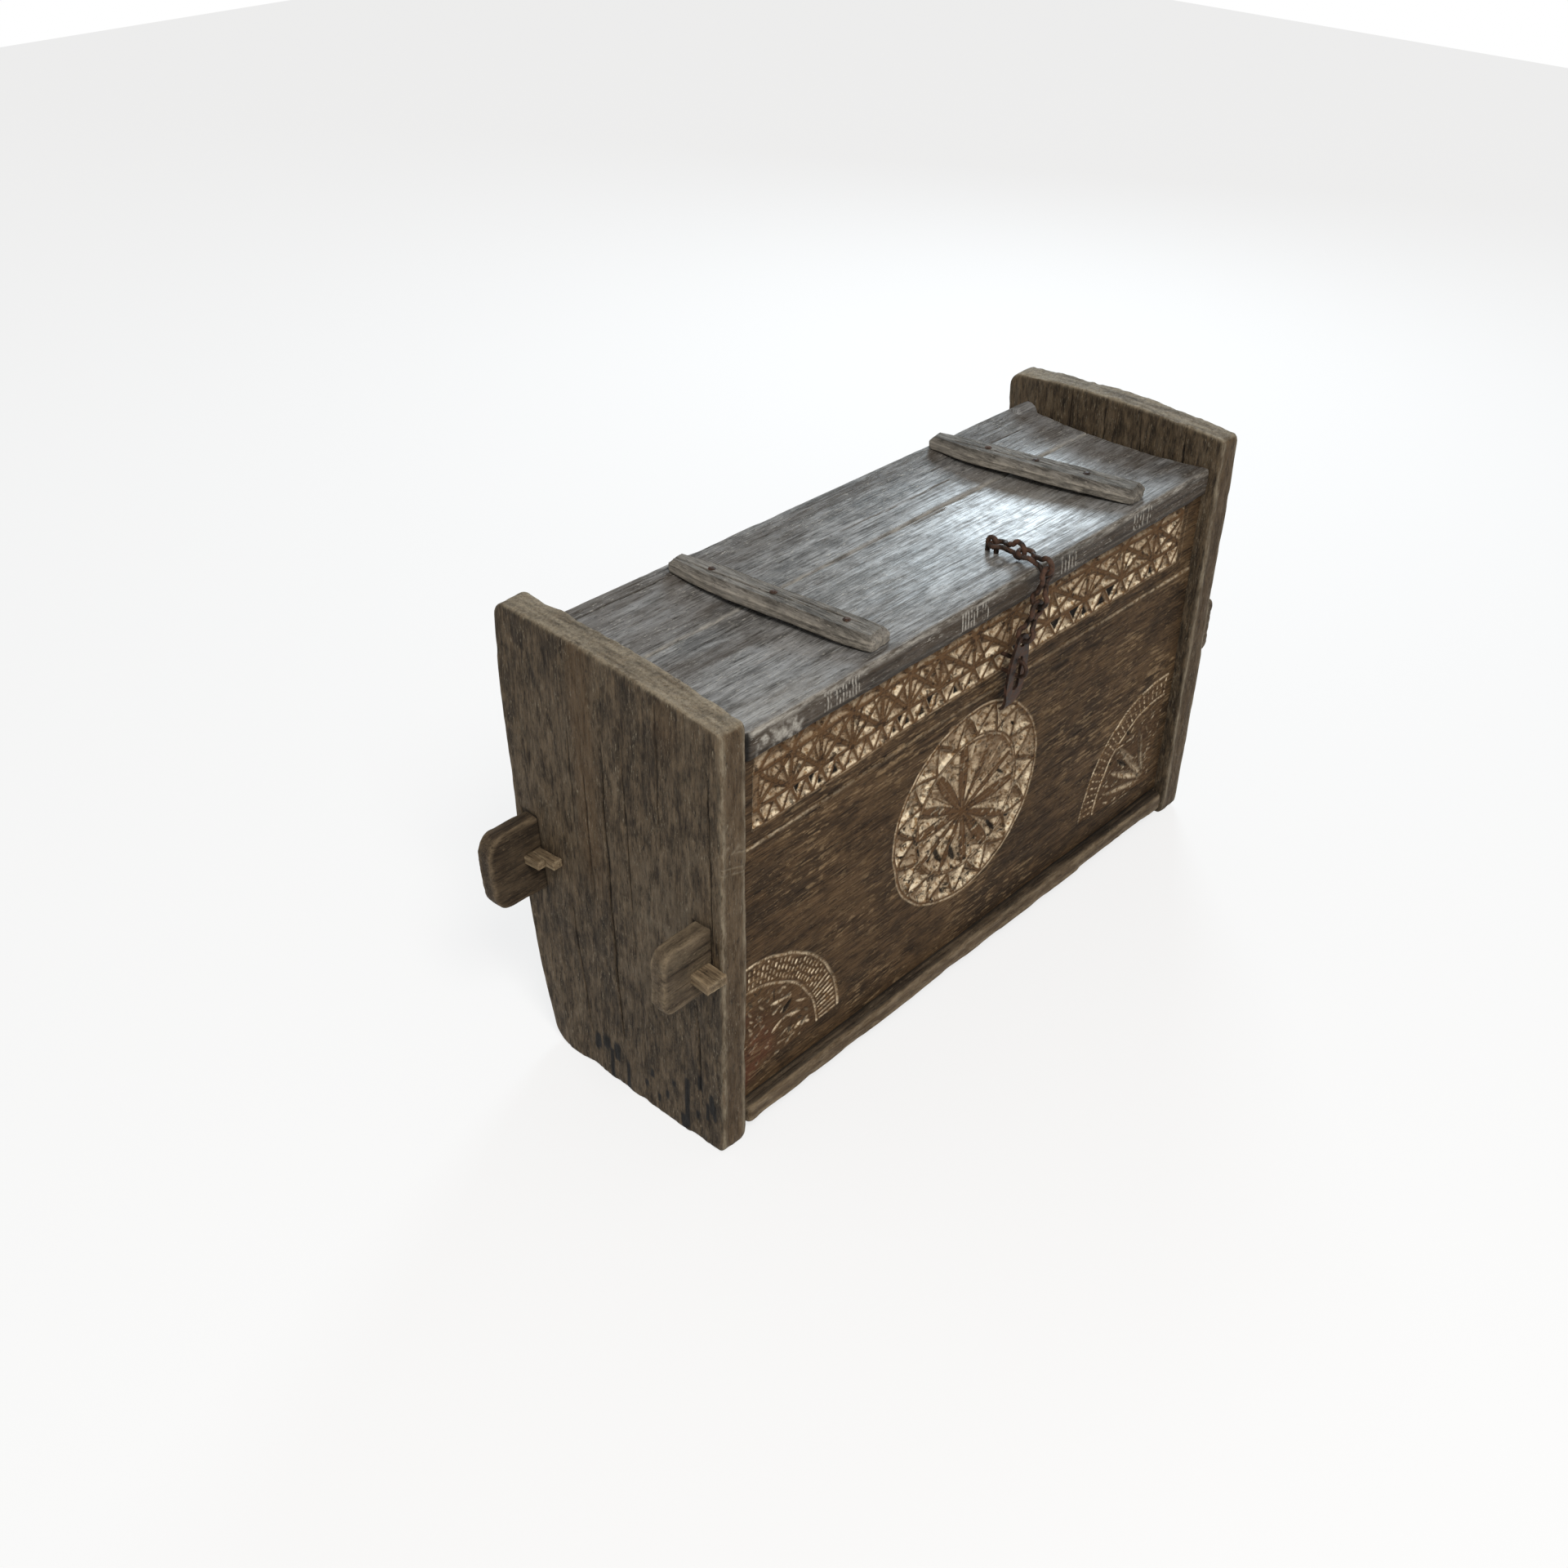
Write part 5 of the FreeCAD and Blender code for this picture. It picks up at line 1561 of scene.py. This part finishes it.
@dataclass
class Wedges:
    """All five keys."""

    keys: tuple[Wedge, ...] = (
        Wedge("left_front_wedge", -1, (0.0, 0.0), (32.0, 26.0), (-9.0, 70.0), 284.0, 15.0),
        Wedge("right_front_wedge", 1, (0.0, 0.0), (24.0, 18.0), (14.0, 70.0), 284.0, 14.0),
        Wedge("left_back_wedge", -1, (0.0, 0.0), (15.0, 11.0), (267.0, 349.0), 298.0, 12.0, 0.0822),
        Wedge("left_back_shim", -1, (14.4, 11.3), (26.0, 26.0), (282.0, 345.0), 298.0, 12.0, 0.0822),
        Wedge("right_back_wedge", 1, (0.0, 0.0), (24.0, 18.0), (301.0, 359.0), 298.0, 14.0, 0.0822),
    )

    def build(self, finishes: Finishes) -> None:
        """Builds every key."""
        for key in self.keys:
            key.build(finishes)


@dataclass
class Lid:
    """The dished lid of two boards with nailed battens; the back board ends in round pintles."""

    left: float = -462.0
    right: float = 465.0
    front: float = 11.0
    seam: float = 214.0
    gap: float = 0.5
    back: float = 347.3
    nose: float = 349.0
    skew: float = 14.0
    under: float = 546.0
    thickness: float = 40.0
    dish: float = 10.0
    hinge: Spot = (322.0, 574.0)
    heel: float = 28.0
    pin_radius: float = 16.0
    pin_reach: float = 495.0
    horn: float = 34.0
    shoulder: float = 9.0
    shoulder_drop: float = 8.0
    pin_bevel: float = 3.0
    patch_ends: Spot = (-446.0, -345.0)
    tally_ends: Spot = (8.0, 36.0)
    tally: Groove = Groove(1.5, 1.2)
    tallies: tuple[tuple[float, int, float], ...] = (
        (-334.0, 3, 5.0), (-314.0, 8, 5.4), (-88.0, 6, 5.6), (-49.0, 3, 5.5), (116.0, 5, 7.5),
        (279.0, 4, 7.0), (312.0, 2, 6.0),
    )
    # Rubbed places on top: place along and across, spread along and across, and strength. They get a glossy
    # coat and are painted paler, a painted sheen.
    rubbed: tuple[tuple[float, float, float, float, float], ...] = (
        (170.0, 130.0, 140.0, 105.0, 0.95), (-40.0, 120.0, 180.0, 95.0, 0.5),
        (-385.0, 30.0, 80.0, 34.0, 0.9), (330.0, 180.0, 60.0, 60.0, 0.6),
    )
    front_cracks: tuple[Crack, ...] = (
        Crack(20.0, 420.0, 177.0, 0.0, 1.2, 3.0, 1, 0.7),
        Crack(420.0, 820.0, 196.0, -0.004, 1.0, 2.5, 1, 0.5),
        Crack(640.0, 925.0, 120.0, 0.0, 1.0, 2.0, 1, 0.4),
        Crack(0.0, 240.0, 98.0, 0.01, 1.0, 2.0, 1, 0.4),
    )
    back_cracks: tuple[Crack, ...] = (
        Crack(0.0, 300.0, 112.0, 0.0, 1.4, 4.0, 1, 0.8), Crack(640.0, 925.0, 80.0, -0.02, 1.4, 4.0, 1, 0.7),
        Crack(240.0, 800.0, 44.0, 0.004, 1.1, 2.5, 1, 0.5), Crack(0.0, 420.0, 62.0, 0.0, 1.0, 2.5, 1, 0.4),
    )

    def top(self, y: Array) -> Array:
        """Height of the dished top: a parabola, lowest in the middle."""
        middle, half = (self.front + self.back) / 2.0, (self.back - self.front) / 2.0
        return self.under + self.thickness - self.dish * (1.0 - ((y - middle) / half) ** 2)

    def details(self, marks: Marks, points: Array, normals: Array) -> None:
        """Groups of short upright cuts and a mottled pale patch along the front edge, rubbed places on top
        painted paler as sheen, painted shadow at the left end and painted shade along the lower rim.

        Args:
            marks: What the details add to.
            points: Chest millimetres.
            normals: Outward directions in board coordinates.
        """
        x, y, z = points[:, 0], points[:, 1], points[:, 2] - self.under
        edge = (y < self.front + 7.0) & (normals[:, 2] < 0.7)
        tall = smooth((z - self.tally_ends[0]) / 4.0) * smooth((self.tally_ends[1] - z) / 4.0) * edge
        for start, count, pitch in self.tallies:
            for cut in start + pitch * np.arange(count):
                near = tent(x - cut + 0.06 * (z - 20.0), self.tally.width)
                marks.depth = np.maximum(marks.depth, self.tally.depth * near * tall)
        turned, mottle = self.mottle(points)
        rough = cloud(points, (60.0, 6.0, 5.0), 311, 3)
        along = smooth((x - self.patch_ends[0]) / 8.0) * smooth((self.patch_ends[1] - x) / 40.0)
        patch = smooth((mottle + 0.4) / 0.9) * along * smooth((32.0 - z) / 8.0)
        scratched = smooth(marks.depth / 0.7) * smooth((cloud(turned, (7.0, 9.0, 7.0), 313, 2) + 0.5) / 0.6)
        marks.pale = np.maximum(scratched, 0.9 * patch * edge)
        self.polish(marks, points, normals)
        arris = 0.7 * smooth((self.front + 15.0 - y) / 8.0) * smooth(0.8 + rough)
        marks.warm = np.where(edge, 1.25, np.maximum(arris, self.brown(points, normals)))
        # Painted shadow on the front edge at the left end, where the gap beside the end board is.
        painted_shade_beside = smooth((self.left + 12.0 - x) / 5.0) * edge
        marks.kept = smooth((10.0 - z) / 4.0)
        grime = 0.5 * smooth((rough - 0.1) / 0.4) * edge * (1.0 - patch)
        # Dark marks: that painted shadow, painted shade along the lower rim, and grime.
        marks.dark = np.maximum.reduce([0.95 * painted_shade_beside, 0.5 * marks.kept * edge, grime])
        # Rubbed places are painted paler too: painted sheen.
        marks.pale = np.maximum(marks.pale, 0.35 * marks.polish)

    def mottle(self, points: Array) -> tuple[Array, Array]:
        """Places turned slantwise along the lid, and a mottle over them."""
        x, y, z = points[:, 0], points[:, 1], points[:, 2] - self.under
        turned = columns(x + 0.8 * z, y, z - 0.8 * x)
        return turned, cloud(turned, (9.0, 9.0, 9.0), 307, 3)

    def polish(self, marks: Marks, points: Array, normals: Array) -> None:
        """Rubbed places on top: soft spots, the strongest one counting, broken by the mottle.

        Args:
            marks: What the polish adds to.
            points: Chest millimetres.
            normals: Outward directions in board coordinates.
        """
        broken = np.clip(0.9 + 0.5 * self.mottle(points)[1], 0.0, 1.0) * (normals[:, 2] > 0.6)
        for at_x, at_y, wide, deep, share in self.rubbed:
            off_x, off_y = (points[:, 0] - at_x) / wide, (points[:, 1] - at_y) / deep
            spot = share * np.exp(-(off_x**2) - off_y**2)
            marks.polish = np.maximum(marks.polish, spot * broken)

    @staticmethod
    def brown(points: Array, normals: Array) -> Array:
        """Share of brown where grey weathering is thin: broad clouds, most at the ends, the back and below.

        Args:
            points: Chest millimetres.
            normals: Outward directions in board coordinates.

        Returns:
            A share for each point.
        """
        clouds = cloud(points * [1.0, 1.0, 0.0], (170.0, 40.0, 1.0), 317, 3)
        outward = smooth((np.abs(points[:, 0] + 40.0) - 230.0) / 200.0)
        behind = smooth((points[:, 1] - 200.0) / 120.0)
        upper = 0.75 * smooth(0.1 + 0.35 * outward + 0.3 * behind + clouds)
        return np.where(normals[:, 2] < -0.5, 1.1, upper)

    def brown_details(self, marks: Marks, points: Array, normals: Array) -> None:
        """Brown clouds and rubbed places on the back board, the rubbed places painted paler as sheen."""
        marks.warm = self.brown(points, normals)
        self.polish(marks, points, normals)
        # Rubbed places are painted paler: painted sheen.
        marks.pale = 0.35 * marks.polish

    def shape(self, start: float, end: float) -> Callable[[Array], Array]:
        """Bends a board between its underside and the dished top, the heel rounded about the hinge.

        Args:
            start: The board's front edge.
            end: Its back edge at the left end.

        Returns:
            The function from board to chest millimetres.
        """

        def bend(points: Array) -> Array:
            """Board to chest."""
            x, y = self.left + points[:, 0], start + points[:, 1]
            behind = np.clip(y - self.hinge[0], 0.0, self.heel - 1e-6)
            rise = np.sqrt(self.heel**2 - behind**2)
            under = np.where(behind > 0, self.hinge[1] - rise, self.under)
            top = np.minimum(self.top(y), self.hinge[1] + np.where(behind > 0, rise, np.inf))
            z = under + points[:, 2] / self.thickness * (top - under)
            share = (y - start) / (end - start) * (end > self.seam + 10.0) * smooth((y - self.seam) / 60.0)
            return columns(x, y - self.skew * share * points[:, 0] / (self.right - self.left), z)

        return bend

    def pintle(self, side: int) -> Piece:
        """A pintle: a turned surface whose radius, over its length, rises from the horn and ends in a bevel.

        Args:
            side: -1 for the left end, 1 for the right.

        Returns:
            The piece.
        """
        start = (-self.left if side < 0 else self.right) - self.horn
        swelling = start + self.shoulder * (1.0 - np.cos(np.linspace(0.1, np.pi / 2, 7)))
        straight = np.linspace(start + self.shoulder + self.pin_bevel, self.pin_reach, 26)
        along = np.concatenate([swelling, straight])
        short_of = np.clip((start + self.shoulder - along) / self.shoulder, 0.0, 1.0)
        round_in = np.sqrt(np.clip(1.0 - short_of**2, 0.0, 1.0))
        bevel = np.clip(along - self.pin_reach + self.pin_bevel, 0.0, self.pin_bevel)
        radius = self.pin_radius - self.shoulder_drop * (1.0 - round_in) - bevel
        turn = np.linspace(0.0, 2.0 * np.pi, 49)[:-1]
        a, t = (grid.ravel() for grid in np.meshgrid(along, turn, indexing="ij"))
        bumps = cloud(columns(a, 20.0 * np.cos(t), 20.0 * np.sin(t)), (30.0, 8.0, 8.0), 331, 3)
        r = np.repeat(radius, len(turn)) - 0.5 * np.clip(0.5 + bumps, 0.0, 1.0)
        points = columns(side * a, self.hinge[0] + r * np.cos(t), self.hinge[1] + r * np.sin(t))
        hubs = [[side * along[0], *self.hinge], [side * along[-1], *self.hinge]]
        rings = np.arange(len(points)).reshape(len(along), len(turn))
        sides = [strip(near, far) for near, far in zip(rings[:-1], rings[1:])]
        first = cap(rings[0], len(points))[:, [1, 0, 2, 3]]
        quads = np.concatenate([*sides, first, cap(rings[-1], len(points) + 1)])
        return Piece(f"{'left' if side < 0 else 'right'}_pintle", np.concatenate([points, hubs]), quads)

    def build(self, finishes: Finishes) -> None:
        """Builds and dresses the two boards and the pintles."""
        length = self.right - self.left
        cuts = [start - self.left + np.arange(count) * pitch for start, count, pitch in self.tallies]
        near_cuts = (np.concatenate(cuts)[:, None] + np.array([-1.6, -0.8, 0.0, 0.8, 1.6])).ravel()
        marks = tuple(np.concatenate([near_cuts, np.arange(14.0, 130.0, 2.4)]))
        Plank(
            "lid_front", length, self.seam - self.front, self.thickness, self.shape(self.front, self.seam),
            (5.0, 2.1), (12.0, 6.0, 1.0, 1.0), (5.0, 6.0), ridge=0.5, dent=0.7, seed=71,
            cracks=self.front_cracks, details=self.details, line_marks=(marks, ()),
        ).build().make(Body.LID, Slot.LID, finishes[Slot.LID], ["lid_front_board"])
        start = self.seam + self.gap
        back = Plank(
            "lid_back", length, self.nose - start, self.thickness, self.shape(start, self.nose), (5.0, 1.5),
            (1.0, 1.0, 3.0, 3.0), (5.0, 5.0), ridge=0.5, dent=0.7, seed=83,
            cracks=self.back_cracks, details=self.brown_details,
        )
        pieces = [back.build(), self.pintle(-1), self.pintle(1)]
        for piece in pieces:
            piece.make(Body.LID, Slot.LID, finishes[Slot.LID], ["lid_back_board"])


@dataclass(frozen=True)
class Batten:
    """A bevelled batten across the lid, tapering at both tips."""

    node: str
    back: Spot
    front: Spot
    seat: float = 584.4
    width: float = 46.0
    thickness: float = 20.0
    tips: tuple[float, float] = (22.0, 40.0)
    tapers: tuple[float, float] = (70.0, 40.0)
    seed: int = 91

    def shape(self, points: Array) -> Array:
        """Board to chest: the width narrows to each tip, and the length follows the slanting line."""
        line = np.array(self.front) - np.array(self.back)
        length = np.hypot(*line)
        ahead, aside = line / length, np.array([-line[1], line[0]]) / length
        u = points[:, 0]
        stations = (0.0, self.tapers[0], length - self.tapers[1], length)
        wide = np.interp(u, stations, (self.tips[0], self.width, self.width, self.tips[1]))
        across = (points[:, 1] / self.width - 0.5) * wide
        flat = np.array(self.back) + u[:, None] * ahead + across[:, None] * aside
        return columns(flat[:, 0], flat[:, 1], self.seat + points[:, 2])

    def build(self, finishes: Finishes) -> None:
        """Builds and dresses the batten."""
        length = float(np.hypot(self.front[0] - self.back[0], self.front[1] - self.back[1]))
        Plank(
            self.node + "_board", length, self.width, self.thickness, self.shape, (2.6, 1.2),
            (6.0, 6.0, 6.0, 6.0), (8.0, 2.0), ridge=0.5, worn=1.8, seed=self.seed, bevelled=True,
            cracks=(Crack(20.0, 220.0, 18.0, 0.02, 1.2, 3.0), Crack(150.0, 300.0, 30.0, -0.02, 1.2, 3.0)),
        ).build().make(Body.LID, Slot.BATTEN, finishes[Slot.BATTEN], [self.node])


# Light, floor, camera


def placed(made: bpy.types.Object, side: Array, up: Array, back: Array, place: Array) -> None:
    """Puts an object into the scene by its three directions and its place in metres.

    Args:
        made: A camera or a lamp.
        side: Its own x direction.
        up: Its own y direction.
        back: Its own z direction.
        place: Where it stands.
    """
    rows = np.eye(4)
    rows[:3] = np.stack([side, up, back, place], 1)
    made.matrix_world = Matrix(rows.tolist())
    bpy.context.scene.collection.objects.link(made)


@dataclass(frozen=True)
class Lamp:
    """A square soft lamp aimed at a point: place, aim and side in metres, power in watts, and tint."""

    name: str
    place: Triple
    aim: Triple
    size: float
    power: float
    colour: Colour

    def build(self) -> None:
        """Hangs the lamp."""
        data = bpy.data.lights.new(self.name, "AREA")
        data.size, data.energy, data.color = self.size, self.power, self.colour
        back = np.array(self.place) - np.array(self.aim)
        back /= np.linalg.norm(back)
        side = np.cross([0.0, 0.0, 1.0], back)
        side /= np.linalg.norm(side)
        placed(bpy.data.objects.new(self.name, data), side, np.cross(back, side), back, np.array(self.place))


@dataclass
class Studio:
    """Pale floor, soft light and the camera that took the picture's view."""

    lens: float = 39.94
    sensor: float = 36.0
    eye: Triple = (-1565.5, -1040.4, 1586.5)
    right: Triple = (0.676838, -0.735998, 0.014080)
    up: Triple = (0.413039, 0.395533, 0.820337)
    back: Triple = (-0.609335, -0.549419, 0.571707)
    floor_half: float = 6.0
    lamps: tuple[Lamp, ...] = (
        Lamp("window", (-1.5, -1.9, 3.1), (0.0, 0.0, 0.3), 1.1, 78.0, (1.0, 0.96, 0.91)),
        Lamp("skylight", (2.5, 1.5, 1.95), (0.1, 0.05, 0.55), 0.85, 50.0, (0.76, 0.9, 1.0)),
    )

    def camera(self) -> None:
        """Sets the camera by its place and its three directions."""
        data = bpy.data.cameras.new("camera")
        data.lens, data.sensor_width = self.lens, self.sensor
        made = bpy.data.objects.new("camera", data)
        placed(made, self.right, self.up, self.back, DATUM.place(np.array(self.eye)))
        bpy.context.scene.camera = made

    def floor(self) -> None:
        """A wide level sheet, white to the camera and still taking the chest's shadow."""
        half = self.floor_half
        corners = [(-half, -half, 0.0), (half, -half, 0.0), (half, half, 0.0), (-half, half, 0.0)]
        mesh = bpy.data.meshes.new("floor")
        mesh.from_pydata(corners, [], [(0, 1, 2, 3)])
        material, g, shader = new_material("floor_paint")
        shader.inputs["Base Color"].default_value = (0.86, 0.86, 0.86, 1.0)
        shader.inputs["Roughness"].default_value = 0.9
        path = g.add("ShaderNodeLightPath").outputs
        mirrored = g.calc("MAXIMUM", path["Is Glossy Ray"], path["Is Transmission Ray"])
        seen = g.calc("MAXIMUM", path["Is Camera Ray"], mirrored)
        white = g.add("ShaderNodeEmission", {"Color": (1.0, 1.0, 1.0, 1.0), "Strength": 1.0})
        share = g.calc("MULTIPLY", seen, 0.75)
        both = g.add("ShaderNodeMixShader", {0: share, 1: shader.outputs[0], 2: white.outputs[0]})
        g.send(both.outputs[0], material.node_tree.nodes["Material Output"], "Surface")
        mesh.materials.append(material)
        made = bpy.data.objects.new("floor", mesh)
        bpy.context.scene.collection.objects.link(made)

    @staticmethod
    def world() -> None:
        """A soft even surround, plain white where the camera looks past the floor."""
        made = bpy.data.worlds.new("surround")
        made.use_nodes = True
        bpy.context.scene.world = made
        g = Graph(made.node_tree)
        soft = made.node_tree.nodes["Background"]
        soft.inputs["Color"].default_value = (1.0, 0.98, 0.95, 1.0)
        soft.inputs["Strength"].default_value = 0.42
        white = g.add("ShaderNodeBackground", {"Color": (1.0, 1.0, 1.0, 1.0), "Strength": 1.0})
        seen = g.add("ShaderNodeLightPath").outputs["Is Camera Ray"]
        both = g.add("ShaderNodeMixShader", {0: seen, 1: soft.outputs[0], 2: white.outputs[0]})
        g.send(both.outputs[0], made.node_tree.nodes["World Output"], "Surface")

    def build(self) -> None:
        """Sets the stage."""
        self.camera()
        self.floor()
        self.world()
        for lamp in self.lamps:
            lamp.build()
        bpy.context.scene.view_settings.view_transform = "Standard"


def main() -> None:
    """Builds the chest piece by piece."""
    logging.basicConfig(level=logging.INFO)
    finishes = Finishes()
    Studio().build()
    assemblies = (
        EndBoards(),
        FrontBoard(),
        BackBoard(),
        FloorBoards(),
        Wedges(),
        Lid(),
        Batten("left_batten", (-252.0, 333.3), (-222.0, 25.0)),
        Batten("right_batten", (254.0, 333.3), (308.0, 25.0), seed=113),
    )
    for assembly in assemblies:
        assembly.build(finishes)
    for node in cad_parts.values():
        if not node.hide_render:
            node.data.materials.clear()
            node.data.materials.append(finishes[Slot.IRON])
            LOG.info("%s: iron from the frame", node.name)


if __name__ == "__main__":
    main()
